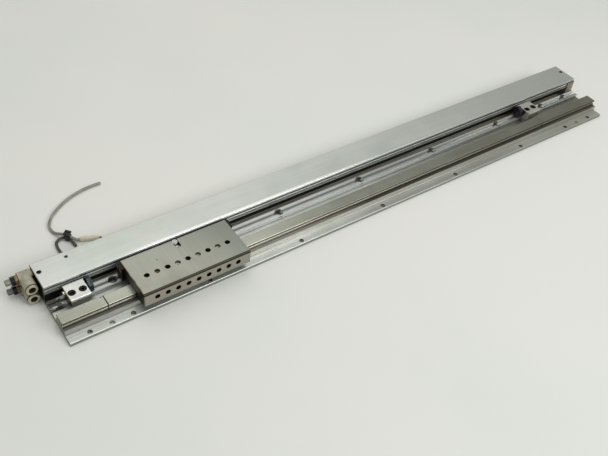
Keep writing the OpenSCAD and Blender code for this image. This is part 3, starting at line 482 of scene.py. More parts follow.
@dataclass(frozen=True)
class CoverAluminium(Finish):
    """Satin cover. The dent, the front and the left end are in metres, and the rest in millimetres."""

    dent: Pair = (0.0, 0.0)
    front: float = 0.0
    left: float = 0.0
    dent_radius: float = 2.6
    dent_slant: float = 0.4
    dent_relief: float = 8.0
    lines: Pair = (17.8, 21.0)
    line_halves: Pair = (0.5, 0.8)

    def painted_edge_highlight(self, graph: Graph) -> Signal:
        """Gives 1 on the middle of the front top edge, where a highlight is painted.

        Args:
            graph: The material's graph.

        Returns:
            The mask.
        """
        x, y, z = graph.axes
        along = x.step(60, 110, self.left) * x.step(390, 290, self.left)
        return along * y.step(3.2, 2.0, self.front) * z.step(21.9, 22.3)

    def metal(self, graph: Graph) -> Signal:
        """Makes the edge under the painted highlight scatter its light."""
        return self.metallic - self.painted_edge_highlight(graph) * (self.metallic * 0.5)

    def gloss(self, graph: Graph) -> Signal:
        """Makes the edge under the painted highlight smoother."""
        return super().gloss(graph) - self.painted_edge_highlight(graph) * 0.2

    def height(self, graph: Graph) -> Signal:
        """Adds the dent, half a ring, to the satin relief.

        Args:
            graph: The material's graph.

        Returns:
            The relief.
        """
        x, y, _ = graph.axes
        ring = (graph.away(*self.dent) - self.dent_radius * MM).size().step(0.7, 0.1)
        across = self.dent[1] - self.dent[0] * self.dent_slant
        near = (y - x * self.dent_slant).step(1, -1, across)
        return super().height(graph) - ring * near * self.dent_relief

    def coats(self, graph: Graph) -> list[Coat]:
        """Adds a soft haze, a painted highlight on the front top edge, the lip's painted light and shade and
        its grooves, and the brown left end.

        Args:
            graph: The material's graph.

        Returns:
            The coats, the lowest first.
        """
        x, y, z = graph.axes
        low, high = self.lines
        haze = graph.noise(0.05, (0.6, 1.0, 1.0), 4.0, 0.6).ramp(0.42, 0.62)
        far = (x + graph.wander(0.1, 0.06)).step(400, 640, self.left)
        lip = y.step(0.9, 0.6, self.front)
        coats = [
            *super().coats(graph),
            (haze * 0.25, (232, 234, 230)),
            (far * 0.5, (186, 187, 177)),
            # A painted highlight along the middle of the front top edge.
            (self.painted_edge_highlight(graph), (255, 255, 253)),
            # Painted shade on the lip below the lower groove and painted light on the band between the
            # grooves.
            (lip * z.step(low + 0.2, low - 0.2) * 0.7, (140, 143, 137)),
            (lip * z.band(low + 0.6, high - 0.8) * 0.9, (250, 251, 248)),
        ]
        # Painted shade in the lip's two grooves.
        for line, half in zip(self.lines, self.line_halves):
            groove = (z - line * MM).size().step(half + 0.1, half - 0.1)
            coats.append((lip * groove * 0.95, (30, 30, 28)))
        return [*coats, (x.step(0.7, 0.3, self.left) * 0.7, (128, 108, 84))]


@dataclass(frozen=True)
class RailSteel(Finish):
    """Ground rail: browner from start to end, with dark lines under its edges and oily joints.

    Each joint is a place along X and how strongly it shows on top.
    """

    start: float = 0.0
    end: float = 1.0
    left: float = -BEYOND
    front: float = -BEYOND
    top: float = 0.0
    joints: tuple[Pair, ...] = ()

    def coats(self, graph: Graph) -> list[Coat]:
        """Adds the brown film, painted shade on the front top edge, dark wavy lines along the side and the
        joints.

        Args:
            graph: The material's graph.

        Returns:
            The coats, the lowest first.
        """
        x, y, z = graph.axes
        film = (x + graph.wander(0.12, 0.04)).ramp(self.start, self.end)
        edge = y.step(1.2, 0.7, self.front) * x.band(-50, 60, 50)
        below = self.top - z
        wavy = below + graph.wander(0.8 * MM, 0.015, (0.3, 1.0, 1.0))
        coats = [
            *super().coats(graph),
            (film * 0.5, (132, 124, 108)),
            (x.step(50, 20, self.left) * 0.5, (148, 148, 134)),
            (x.step(0.4, 0.2, self.left) * 0.85, (58, 48, 34)),
            # Painted shade that dims the front top edge in the middle.
            (edge * 0.6, (98, 93, 80)),
            (below.band(0.15, 5.0) * 0.6, (122, 117, 104)),
            ((wavy.band(0.5, 1.6, 0.2) | wavy.step(4.6, 5.3)) * 0.85, (52, 44, 32)),
            (below.band(0.3, 0.8) * 0.8, (96, 92, 78)),
        ]
        for joint, over in self.joints:
            shown = over + below.step(0.15, 0.3) * (0.9 - over)
            coats.append(((x - joint).size().step(0.7, 0.4) * shown, (46, 40, 32)))
        return coats


@dataclass(frozen=True)
class DrawnBase(Finish):
    """Drawn aluminium of the base. The front and the left end are in metres, the rest in millimetres."""

    front: float = 0.0
    left: float = -BEYOND
    bright_ends: Pair = (200.0, 260.0)
    flange_top: float = 3.2
    seat_front: float = 10.0
    seat_width: float = 3.8
    seat_tops: Pair = (8.3, 8.6)
    valley: Pair = (34.4, 38.2)
    valley_floor: Pair = (4.1, 4.5)
    ridge: Pair = (38.5, 48.3)
    ridge_top: float = 8.0
    slot_half: float = 2.9
    bed_back: float = 76.0
    pitch: float = 100.0
    row_half: float = 210.0
    end_holes: Pair = (274.5, 314.0)
    dowels: tuple[float, ...] = (294.0,)
    flange_row: float = 3.8
    hole: float = 3.7
    dowel: float = 2.5

    def axes(self, graph: Graph) -> tuple[Signal, Signal, Signal]:
        """Gives X, the distance behind the front edge, and Z."""
        x, y, z = graph.axes
        return x, y - self.front, z

    @property
    def ridge_half(self) -> float:
        """Half of the ridge's width."""
        return (self.ridge[1] - self.ridge[0]) / 2

    def over(self, graph: Graph) -> Signal:
        """Gives the distance from the ridge's middle line."""
        return (self.axes(graph)[1] - sum(self.ridge) / 2 * MM).size()

    def away(self, graph: Graph, over: Signal, more: tuple[float, ...] = ()) -> Signal:
        """Gives the distance from the nearest hole's axis in one of the two rows.

        Args:
            graph: The material's graph.
            over: The distance from the row's line.
            more: Holes of this row alone, as distances from the middle.

        Returns:
            The distance in metres.
        """
        x = graph.axes[0]
        half = self.pitch * MM / 2
        along = graph.math("WRAP", x, half, -half).size()
        along = along + x.size().step(self.row_half, self.row_half + 1)
        for place in self.end_holes + more:
            along = graph.math("MINIMUM", along, (x.size() - place * MM).size())
        return along.diagonal(over)

    def opening(self, graph: Graph) -> Signal:
        """Gives 1 where the bed is seen through the gap between ridge and cover."""
        _, back, z = self.axes(graph)
        return back.band(self.ridge[1] - 0.5, self.ridge[1] + 8.4, 0.5) * z.band(1.0, self.ridge_top - 0.4)

    def face(self, graph: Graph) -> Signal:
        """Gives 1 on the ridge's front face, fading to the right.

        Args:
            graph: The material's graph.

        Returns:
            The mask.
        """
        x, back, z = self.axes(graph)
        near = x.step(260, -100) * (x.step(-270, -250) * 0.6 + 0.4)
        low, high = self.valley_floor[1] - 0.1, self.ridge_top - 0.2
        return back.band(self.ridge[0] - 0.1, self.ridge[0] + 1.5) * z.band(low, high) * near

    def rear_lip(self, graph: Graph) -> Signal:
        """Gives 1 on the top and the inner face of the slot's rear lip.

        Args:
            graph: The material's graph.

        Returns:
            The mask.
        """
        _, back, z = self.axes(graph)
        rear = self.ridge[1]
        return back.band(rear - 3.2, rear - 0.3) * z.step(self.ridge_top - 1.5, self.ridge_top - 1.3)

    def metal(self, graph: Graph) -> Signal:
        """Makes the strip behind the ridge, and the ridge's face, rear lip and ends, duller.

        Args:
            graph: The material's graph.

        Returns:
            How metallic the surface is.
        """
        x, _, z = self.axes(graph)
        half, top = self.ridge_half, self.ridge_top
        ridge = self.over(graph).step(half + 0.1, half - 0.1) * z.step(top - 0.2, top - 0.1)
        ends = x.size().step(*self.bright_ends) * ridge
        dull = self.opening(graph) + ends * 0.6 | self.face(graph) | self.rear_lip(graph)
        return self.metallic - dull * self.metallic

    def bed(self, graph: Graph) -> list[Coat]:
        """Gives the warm right end, painted shade on the bed and a painted sheen in the gap behind the
        ridge.

        Args:
            graph: The material's graph.

        Returns:
            The coats, the lowest first.
        """
        x, back, z = self.axes(graph)
        rear = self.ridge[1]
        warm = (x + graph.wander(0.3, 0.05, detail=4.0)).step(80, 300)
        # Painted shade on the bed under the cover; a painted sheen, with a line of painted shade, where the
        # bed shows behind the ridge.
        bed_shade = back.band(rear + 0.2, self.bed_back, 0.3) * z.band(1.5, self.ridge_top - 0.3)
        painted_light_and_shade = graph.noise(0.02, (0.3, 1.0, 1.0), 4.0).ramp(0.36, 0.6)
        sheen = graph.mix(painted_light_and_shade, (232, 232, 226), (202, 198, 178))
        sheen = graph.mix(x.step(120, 260) * 0.6, sheen, (196, 184, 132))
        sheen = graph.mix(back.band(rear + 7.0, rear + 7.6, 0.2) * 0.9, sheen, (52, 49, 42))
        return [
            (warm * 0.5, (172, 168, 150)),
            (bed_shade * 0.9, (44, 42, 37)),
            (self.opening(graph) * 0.9, sheen),
        ]

    def seat(self, graph: Graph) -> list[Coat]:
        """Gives the cut left end, the flange's face, the flank of the rail's seat and a painted highlight
        along its foot.

        Args:
            graph: The material's graph.

        Returns:
            The coats, the lowest first.
        """
        x, back, z = self.axes(graph)
        start, top = self.seat_front, self.flange_top
        flange_face = back.step(0.3, 0.1) * z.step(top - 0.1, top - 0.3)
        flank = back.band(start - 0.1, start + self.seat_width) * z.step(top, top + 0.4)
        foot = back.band(start - 0.7, start - 0.1) * z.step(top - 0.3, top - 0.1)
        lit = x.step(-200, -80) * x.step(180, 80) * 0.75 + 0.12
        return [
            (x.step(0.3, 0.15, self.left) * 0.8, (92, 86, 74)),
            (flange_face * 0.75, (126, 127, 119)),
            (flank * 0.6, graph.mix(x.step(-230, -280), (178, 171, 160), (134, 129, 119))),
            # A painted highlight along the seat's foot, strongest in the middle.
            (foot * lit, (248, 248, 244)),
        ]

    def slot(self, graph: Graph) -> list[Coat]:
        """Gives painted light and shade on the slotted ridge: on the lips of its slot, its two tops, the
        slot's deep floor and its rear lip.

        Args:
            graph: The material's graph.

        Returns:
            The coats, the lowest first.
        """
        x, _, z = self.axes(graph)
        over, top = self.over(graph), self.ridge_top
        within = over.step(self.slot_half, self.slot_half - 0.2)
        lip = within * z.band(top - 1.7, top - 0.1)
        deep = within * z.band(self.flange_top + 0.3, top - 1.8)
        tops = over.step(self.ridge_half - 0.3, self.ridge_half - 0.6) * z.step(top - 0.1, top - 0.03)
        # Painted light and shade, changing along X: lips, tops and rear lip lighter to the left than further
        # right, with tops and rear lip given their own tones at the right end; a painted reflection on the
        # deep floor, brighter further right.
        far = x.step(-120, 60)
        top_tone = graph.mix(far, (230, 232, 229), (190, 192, 188))
        rear_tone = graph.mix(far, (240, 242, 238), (184, 186, 179))
        return [
            (lip * 0.85, graph.mix(far, (214, 216, 210), (112, 114, 108))),
            (tops * 0.9, graph.mix(x.step(200, 260), top_tone, (152, 154, 148))),
            (deep * 0.9, graph.mix(x.step(70, 170), (192, 194, 189), (252, 253, 250))),
            (self.rear_lip(graph) * 0.95, graph.mix(x.step(240, 270), rear_tone, (214, 216, 210))),
        ]

    def shade_light_and_soil(self, graph: Graph) -> list[Coat]:
        """Gives painted shade and painted light in bands that fade along the base, and the soil at its left
        end.

        Args:
            graph: The material's graph.

        Returns:
            The coats, the lowest first.
        """
        x, back, z = self.axes(graph)
        start, low, top = self.seat_front, self.flange_top, self.ridge_top
        front, rear = self.ridge
        floor = self.valley_floor[0]
        valley = back.band(*self.valley, 0.5) * z.band(*self.valley_floor)
        behind = back.band(rear - 0.7, rear + 0.2) * z.step(top - 0.5, top - 0.3)
        seat_top = back.band(start + 0.6, start + self.seat_width, 0.3) * z.band(*self.seat_tops)
        shaded = x.step(-80, 0) * (x.step(300, 200) * 0.3 + 0.7) | x.step(-250, -260) * 0.5
        flange = back.step(start - 0.6, start - 1.0) * z.step(low - 0.1, low - 0.02)
        shelf = flange * back.step(start - 3.2, start - 2.2) * x.step(-40, -100)
        soil = x.step(14, 10, self.left) * back.band(front - 1.1, rear + 0.7, 0.5)
        soil = soil * z.step(floor - 0.1, floor + 0.1)
        patches = graph.noise(3 * MM, (0.5, 1.0, 1.0), 4.0).ramp(0.36, 0.46)
        # Painted shade in the valley, behind the ridge, on the seat's top and on the flange; painted light
        # on the ridge's face and on the shelf; then the soil at the left end.
        return [
            (valley * x.step(-20, 60) * 0.5, (108, 107, 98)),
            (self.face(graph) * 0.95, (252, 253, 250)),
            (behind * x.step(20, 100) * 0.8, (58, 56, 50)),
            (seat_top * shaded * 0.8, (64, 60, 52)),
            (flange * x.band(0, 150, 60) * 0.4, (132, 130, 120)),
            (shelf * 0.55, (252, 253, 249)),
            (soil * patches * 0.9, (58, 50, 38)),
        ]

    def holes(self, graph: Graph) -> list[Coat]:
        """Gives painted shade inside and round the rims of the holes in the ridge, and painted shade with a
        painted lit band in the flange's holes.

        Args:
            graph: The material's graph.

        Returns:
            The coats, the lowest first.
        """
        x, back, z = self.axes(graph)
        inner, top = self.hole - 0.3, self.flange_top
        bore = self.away(graph, self.over(graph))
        high = z.step(top - 0.2, top + 0.2)
        rim = bore.band(inner, self.hole + 0.55, 0.15) * high
        row = self.away(graph, (back - self.flange_row * MM).size(), self.dowels)
        row = row.step(self.dowel, self.dowel - 0.1) * z.step(top + 0.05, top - 0.05)
        return [
            # Painted shade in the ridge's holes and on their rims; in the flange's holes, painted shade with
            # a painted lit band on the wall.
            (bore.step(inner, inner - 0.2) * high * 0.9, (104, 105, 96)),
            (rim * 0.85, graph.mix(x.step(-200, 0), (62, 60, 52), (98, 100, 91))),
            (row * 0.92, graph.mix(z.band(0.9, 1.7, 0.3), (34, 31, 26), (190, 187, 174))),
        ]

    def coats(self, graph: Graph) -> list[Coat]:
        """Adds the bed, the rail's seat, the slotted ridge, the bands that fade along the base with the
        soil, and the holes, with their painted light and shade.
        """
        parts = (super().coats, self.bed, self.seat, self.slot, self.shade_light_and_soil, self.holes)
        return [coat for part in parts for coat in part(graph)]


@dataclass(frozen=True)
class PlatedHolder(Finish):
    """Bright plating with painted shade on one end face, golden above a height."""

    shaded_end_x: float = -BEYOND
    gold_z: float = BEYOND

    def coats(self, graph: Graph) -> list[Coat]:
        """Adds the painted shade on the end face."""
        # Painted shade on the end face, golden above gold_z.
        painted_light_and_shade = graph.mix(graph.axes[2].step(-0.5, 0, self.gold_z), (44, 27, 30), (176, 150, 62))
        return [*super().coats(graph), (graph.axes[0].step(0.7, 0.2, self.shaded_end_x) * 0.95, painted_light_and_shade)]


@dataclass(frozen=True)
class DarkEndBolt(Finish):
    """A plated bolt whose head end is darker."""

    head_x: float = BEYOND
    toward: float = 1.0

    def coats(self, graph: Graph) -> list[Coat]:
        """Adds the darker tone over the head."""
        out = ((graph.axes[0] - self.head_x) * self.toward).step(-0.3, 0)
        return [*super().coats(graph), (out * 0.9, (42, 48, 52))]


@dataclass(frozen=True)
class TurnedPin(Finish):
    """A bright pin with a turned ring in its head. The ring is in millimetres."""

    axis: Pair = (0.0, 0.0)
    ring: Pair = (0.95, 1.55)

    def coats(self, graph: Graph) -> list[Coat]:
        """Adds the ring."""
        ring = graph.away(*self.axis).band(*self.ring, 0.15)
        return [*super().coats(graph), (ring * 0.8, (96, 94, 88))]


@dataclass(frozen=True)
class ShadedBore(Finish):
    """A moulded piece with painted shade inside a bore, up to back along Y. The bore is in millimetres."""

    axis: Pair = (0.0, 0.0)
    bore: float = 3.0
    back: float = BEYOND

    def coats(self, graph: Graph) -> list[Coat]:
        """Adds the painted shade inside the bore."""
        # Painted shade inside the bore.
        bore = graph.away(*self.axis, "xz").step(self.bore + 0.12, self.bore)
        return [*super().coats(graph), (bore * graph.axes[1].step(0.5, 0, self.back) * 0.92, (48, 43, 34))]


EXTRUSION = Finish(
    "extrusion_drawn", (222, 224, 220), (196, 199, 194), 0.75, 0.42, spread=0.07, patch=0.05,
    grain=Grain.ALONG, grain_size=0.6 * MM, grain_depth=0.012 * MM, worn=(236, 236, 232),
    stain=(168, 164, 152), stain_size=0.05, stain_share=0.35,
)
BLACK_OXIDE = Finish(
    "screws_black_oxide", (46, 45, 44), (24, 24, 24), 0.9, 0.42, spread=0.1, patch=0.003,
    worn=(120, 118, 112),
)
BRIGHT_ZINC = Finish("screws_bright_zinc", (250, 250, 246), (232, 232, 226), 0.2, 0.3, patch=0.003)
BLACK_ANODISED = Finish(
    "plates_black_anodised", (40, 38, 38), (22, 21, 22), 0.6, 0.45, spread=0.1, patch=0.008,
    grain=Grain.UPRIGHT, worn=(128, 122, 112), stain=(70, 52, 38), stain_size=0.012,
)
HEAD_GREY = Finish(
    "head_machined_grey", (172, 168, 156), (138, 134, 122), 1.0, 0.4, spread=0.1, patch=0.01,
    grain=Grain.UPRIGHT, worn=(206, 204, 196), stain=(112, 96, 74), stain_size=0.01,
)
STAINLESS = Finish(
    "tube_stainless", (214, 214, 212), (180, 180, 178), 1.0, 0.22, patch=0.02, grain=Grain.ALONG,
)
SEAL_RUBBER = Finish(
    "seals_rubber", (34, 33, 32), (18, 18, 18), roughness=0.65, spread=0.1, grain_depth=0.02 * MM,
)
PLATED = Finish(
    "jaws_nickel_plated", (224, 226, 223), (202, 204, 200), 1.0, 0.34, spread=0.07, patch=0.012,
    worn=(240, 240, 236), stain=(178, 170, 150), stain_size=0.012, stain_share=0.3,
    rounding=0.4 * MM,
)
RESIN = Finish(
    "fittings_cream_resin", (188, 182, 162), (156, 150, 130), roughness=0.42, patch=0.006,
    grain_depth=0.02 * MM, worn=(216, 212, 198), stain=(130, 118, 92), stain_size=0.008,
    stain_share=0.5, rounding=0.6 * MM, grime_and_shade=(56, 50, 38), grime_and_shade_reach=4 * MM, grime_and_shade_share=0.85,
)
TAN_BRASS = Finish(
    "collars_tan_brass", (138, 126, 94), (96, 86, 60), 1.0, 0.36, spread=0.1, patch=0.003,
    worn=(214, 200, 168),
)
BLACK_NUT = Finish(
    "nuts_black", (40, 40, 40), (20, 20, 20), 0.8, 0.36, spread=0.1, patch=0.003,
    worn=(110, 108, 104),
)
KNOB_LIGHT = Finish(
    "knob_nickel", (156, 158, 148), (120, 122, 113), 0.7, 0.5, spread=0.1, patch=0.003,
    worn=(196, 196, 188),
)
KNOB_DARK = Finish(
    "knob_dark", (80, 80, 76), (50, 50, 48), 0.7, 0.45, spread=0.1, patch=0.003,
    worn=(140, 140, 134),
)
IVORY = Finish(
    "rings_ivory", (202, 196, 172), (172, 166, 142), roughness=0.38, spread=0.06,
    stain=(150, 138, 108), stain_size=0.005, rounding=0.4 * MM, grime_and_shade=(44, 40, 30),
    grime_and_shade_reach=5 * MM, grime_and_shade_share=0.9,
)
SWITCH_GREY = Finish("switch_grey_resin", (66, 66, 64), (46, 46, 44), roughness=0.45)
SWITCH_CREAM = Finish(
    "switch_cream_resin", (228, 222, 200), (206, 200, 176), roughness=0.42,
    stain=(176, 166, 134), stain_size=0.006,
)
SHEATH = Finish(
    "lead_sheath_grey", (158, 158, 146), (132, 132, 120), patch=0.01, grain_depth=0.03 * MM,
    stain=(112, 108, 94), stain_size=0.012,
)
SHEATH_DARK = Finish(
    "lead_sheath_dark", (88, 87, 82), (62, 61, 58), roughness=0.48, patch=0.01,
    grain_depth=0.03 * MM,
)
NYLON = Finish(
    "tie_black_nylon", (27, 27, 28), (15, 15, 16), roughness=0.4, spread=0.1,
    grain_depth=0.02 * MM,
)
DARK_RESIN = Finish("return_plates_resin", (48, 46, 46), (30, 29, 29), patch=0.006)
BALL = Finish("balls_bearing_steel", (222, 222, 222), (200, 200, 200), 1.0, 0.1, spread=0.03)
YELLOW_ZINC = Finish(
    "screws_yellow_zinc", (222, 196, 112), (182, 150, 72), 0.6, 0.32, patch=0.003,
    worn=(236, 216, 160),
)
MAGNET = Finish("magnets_nickel", (146, 146, 150), (120, 120, 124), 1.0, 0.3, spread=0.06)
POLE_IRON = Finish(
    "poles_plain_iron", (150, 148, 144), (118, 116, 112), 1.0, 0.4, stain=(120, 92, 64),
    stain_size=0.004, stain_share=0.3,
)
WEAR_RESIN = Finish("wear_rings_resin", (196, 174, 130), (166, 144, 102))
TEAL = Finish(
    "bumper_teal_urethane", (26, 66, 74), (12, 44, 52), roughness=0.36, worn=(52, 96, 104),
)
VIOLET = Finish(
    "bumper_violet_urethane", (38, 32, 50), (20, 17, 28), roughness=0.34, worn=(84, 78, 100),
)
COPPER = Finish("lead_cores_copper", (196, 128, 86), (160, 96, 60), 1.0, 0.3, spread=0.06, patch=0.001)


def dress(parts: dict[str, Finish]) -> None:
    """Gives carried-over parts their finishes.

    Args:
        parts: The finish of each named part.
    """
    for name, finish in parts.items():
        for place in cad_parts[name].material_slots:
            place.material = finish.build()
        LOG.info("dressed %s with %s", name, finish.name)


class Solid:
    """Points and faces that become one piece."""

    SHARP = math.radians(35)
    ROUNDED = math.radians(40)
    SEGMENTS = 2

    def __init__(self) -> None:
        """Starts empty."""
        self.points: list[Vector] = []
        self.faces: list[list[int]] = []

    def ring(self, points: Sequence[Sequence[float]]) -> list[int]:
        """Adds a ring of points.

        Args:
            points: The points, in order.

        Returns:
            Their numbers.
        """
        start = len(self.points)
        self.points += [Vector(p) for p in points]
        return list(range(start, len(self.points)))

    def bridge(self, first: list[int], second: list[int]) -> None:
        """Joins two rings with quads.

        Args:
            first: The numbers of one ring's points.
            second: The numbers of the other's, as many.
        """
        for k in range(len(first)):
            after = (k + 1) % len(first)
            self.faces.append([first[k], first[after], second[after], second[k]])

    def loft(self, rings: Sequence[Sequence[Sequence[float]]], capped: bool = True) -> None:
        """Joins rings in order into a skin.

        Args:
            rings: The rings, each with as many points as the others.
            capped: Whether the first and last ring are closed. If not, they join each other.
        """
        made = [self.ring(r) for r in rings]
        for first, second in zip(made, made[1:]):
            self.bridge(first, second)
        if capped:
            self.faces.append(made[0][::-1])
            self.faces.append(made[-1])
        else:
            self.bridge(made[-1], made[0])

    def block(self, wide: Pair, deep: Pair, tall: Pair) -> None:
        """Adds a box between its two ends along X, along Y and along Z."""
        outline = [(wide[0], deep[0]), (wide[1], deep[0]), (wide[1], deep[1]), (wide[0], deep[1])]
        self.loft([[(x, y, z) for x, y in outline] for z in tall])

    def piece(
        self,
        name: str,
        finish: Finish,
        body: str,
        frame_of: Optional[Matrix] = None,
        rounding: float = 0.0,
    ) -> bpy.types.Object:
        """Makes the piece and sets it on its body.

        Args:
            name: The piece's name.
            finish: Its finish.
            body: The body that it rides on.
            frame_of: Where its points are measured from, or None for the part's own origin.
            rounding: How far its edges are rounded, in metres.

        Returns:
            The piece.
        """
        mesh = bpy.data.meshes.new(name)
        matrix = frame_of or Matrix.Identity(4)
        mesh.from_pydata([matrix @ p for p in self.points], [], self.faces)
        mesh.validate()
        mesh.shade_smooth()
        mesh.set_sharp_from_angle(angle=self.SHARP)
        mesh.materials.append(finish.build())
        made = stand(name, mesh)
        if rounding:
            bevel = made.modifiers.new("rounding", "BEVEL")
            bevel.width, bevel.segments, bevel.harden_normals = rounding, self.SEGMENTS, True
            bevel.limit_method, bevel.angle_limit = "ANGLE", self.ROUNDED
        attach(made, body)
        LOG.info("made %s", name)
        return made


def around(centre: Sequence[float], axis: str, radii: Sequence[float]) -> list[Point]:
    """Gives a ring of points about a point, one for each radius.

    Args:
        centre: The ring's middle.
        axis: "x", "y" or "z", the way that the ring faces.
        radii: The radius at each of its points.

    Returns:
        The points, anticlockwise as seen from the axis's far end.
    """
    ring = []
    for k, radius in enumerate(radii):
        a = 2 * math.pi * k / len(radii)
        u, v = radius * math.cos(a), radius * math.sin(a)
        offset = {"x": (0, u, v), "y": (v, 0, u), "z": (u, v, 0)}[axis]
        ring.append(tuple(c + o for c, o in zip(centre, offset)))
    return ring


def rounded_box(width: float, height: float, power: float, count: int = 24) -> list[Pair]:
    """Gives a rectangle's outline with full round corners.

    Args:
        width: Its size across.
        height: Its size up.
        power: How square it is; 2 is an ellipse.
        count: How many points it has.

    Returns:
        The outline about its middle.
    """
    outline = []
    for k in range(count):
        a = 2 * math.pi * (k + 0.5) / count
        c, s = math.cos(a), math.sin(a)
        r = (abs(c) ** power + abs(s) ** power) ** (-1 / power)
        outline.append((width / 2 * c * r, height / 2 * s * r))
    return outline


@dataclass(frozen=True)
class Lamp:
    """One soft lamp that faces the middle of the part. Metres and watts."""

    name: str
    at: Point
    width: float
    height: float
    watts: float
    colour: Colour = (255, 254, 250)

    def build(self) -> None:
        """Makes the lamp."""
        data = bpy.data.lights.new(self.name, "AREA")
        data.shape, data.size, data.size_y = "RECTANGLE", self.width, self.height
        data.energy, data.color = self.watts, linear(self.colour)[:3]
        made = stand(self.name, data)
        made.location = self.at
        made.rotation_euler = (-Vector(self.at)).to_track_quat("-Z", "Y").to_euler()


@dataclass
class Studio:
    """The camera, the lamps, the sky and the floor."""

    eye: Point = (-0.44813, -0.45705, 0.54454)
    turn: Point = (45.939, -5.007, -34.877)
    lens: float = 47.903
    sensor: float = 36.0
    clip: Pair = (0.01, 50.0)
    floor_half: float = 12.0
    floor_z: float = -0.2 * MM
    floor_tones: tuple[Colour, Colour] = ((237, 239, 233), (242, 241, 236))
    floor_patch: float = 0.25
    floor_roughness: float = 0.6
    sky: float = 0.38
    sky_tone: Colour = (250, 252, 248)
    lamps: Sequence[Lamp] = (
        Lamp("window_lamp", (0.1, 1.0, 1.3), 1.3, 1.3, 3.6),
        Lamp("ceiling_lamp", (-0.1, -0.1, 1.6), 1.0, 1.0, 5.0),
        Lamp("front_lamp", (0.5, -1.2, 1.05), 1.1, 0.5, 10.0, (250, 252, 255)),
    )

    def camera(self) -> None:
        """Makes the scene's camera."""
        data = bpy.data.cameras.new("camera")
        data.lens, data.sensor_width = self.lens, self.sensor
        data.clip_start, data.clip_end = self.clip
        made = stand("camera", data)
        made.location = self.eye
        made.rotation_euler = [math.radians(a) for a in self.turn]
        bpy.context.scene.camera = made

    def air(self) -> None:
        """Makes the pale, even sky."""
        world = bpy.data.worlds.new("sky")
        world.use_nodes = True
        graph = Graph(world.node_tree)
        values = {"Color": linear(self.sky_tone), "Strength": self.sky}
        graph.node("OutputWorld", None, {"Surface": graph.node("Background", None, values)})
        bpy.context.scene.world = world

    def paper(self, graph: Graph) -> dict[str, object]:
        """Gives the values of the floor's shader, by socket."""
        cloud = graph.noise(self.floor_patch, detail=3.0).ramp(0.35, 0.65)
        return {"Base Color": graph.mix(cloud, *self.floor_tones), "Roughness": self.floor_roughness}

    def floor(self) -> None:
        """Makes the plain pale floor."""
        half = self.floor_half
        corners = [(-half, -half), (half, -half), (half, half), (-half, half)]
        mesh = bpy.data.meshes.new("floor")
        mesh.from_pydata([(x, y, self.floor_z) for x, y in corners], [], [(0, 1, 2, 3)])
        mesh.materials.append(material("floor_paper", self.paper))
        stand("floor", mesh)

    def build(self) -> None:
        """Makes everything round the part."""
        bpy.context.scene.view_settings.view_transform = "Standard"
        self.camera()
        for lamp in self.lamps:
            lamp.build()
        self.air()
        self.floor()


@dataclass
class Lead:
    """One switch lead. Its route, along X from the base's left end, and its cores are in millimetres."""

    name: str
    node: str
    finish: Finish
    route: Sequence[Point]
    length: float
    diameter: float = 2.7 * MM
    steps: int = 6
    smoothness: int = 4
    cores: int = 3
    core_circle: float = 0.62
    core_turn: float = 0.5
    core_sides: int = 10
    core_shape: Sequence[Pair] = ((-0.6, 0.42), (0.15, 0.42), (0.15, 0.26), (0.7, 0.24))

    def centreline(self) -> list[Vector]:
        """Gives the smooth line through the route's points.

        Returns:
            Its points, from the part's origin.
        """
        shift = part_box("base")[0].x
        p = [Vector((shift + x * MM, y * MM, z * MM)) for x, y, z in self.route]
        p = [p[0], *p, p[-1]]
        line = []
        for a, b, c, d in zip(p, p[1:], p[2:], p[3:]):
            square, cube = 2 * a - 5 * b + 4 * c - d, 3 * b - a - 3 * c + d
            for k in range(self.steps):
                t = k / self.steps
                line.append(0.5 * (2 * b + (c - a) * t + square * t**2 + cube * t**3))
        return [*line, p[-1]]

    def strands(self, end: Vector, way: Vector) -> bpy.types.Object:
        """Makes the bare strands that show at the cut end.

        Args:
            end: The middle of the cut.
            way: The way that the lead points there.

        Returns:
            The strands, as one piece.
        """
        side = way.cross(Vector((0, 0, 1))).normalized()
        up = side.cross(way)
        solid = Solid()
        turns = [2 * math.pi * j / self.core_sides for j in range(self.core_sides)]
        for k in range(self.cores):
            a = 2 * math.pi * k / self.cores + self.core_turn
            middle = end + (side * math.cos(a) + up * math.sin(a)) * self.core_circle * MM
            rings = []
            for along, radius in self.core_shape:
                at = middle + way * along * MM
                rings.append([at + (side * math.cos(t) + up * math.sin(t)) * radius * MM for t in turns])
            solid.loft(rings)
        return solid.piece(self.name + "_cores", COPPER, "base_unit")

    def build(self, extras: Sequence[bpy.types.Object] = ()) -> None:
        """Makes the lead in place of its plain solid.

        Args:
            extras: The pieces that lie on it; not used.
        """
        line = self.centreline()
        curve = bpy.data.curves.new(self.name, "CURVE")
        curve.dimensions = "3D"
        curve.bevel_depth, curve.bevel_resolution = self.diameter / 2, self.smoothness
        curve.use_fill_caps = True
        spline = curve.splines.new("POLY")
        spline.points.add(len(line) - 1)
        for point, at in zip(spline.points, line):
            point.co = (*at, 1.0)
        spline.use_smooth = True
        curve.materials.append(self.finish.build())
        made = stand(self.name, curve)
        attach(made, "base_unit")
        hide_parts(self.node)
        cores = self.strands(line[-1], (line[-1] - line[-2]).normalized())
        measured = sum((b - a).length for a, b in zip(line, line[1:]))
        LOG.info("made %s, %.1f mm long", self.name, measured / MM)


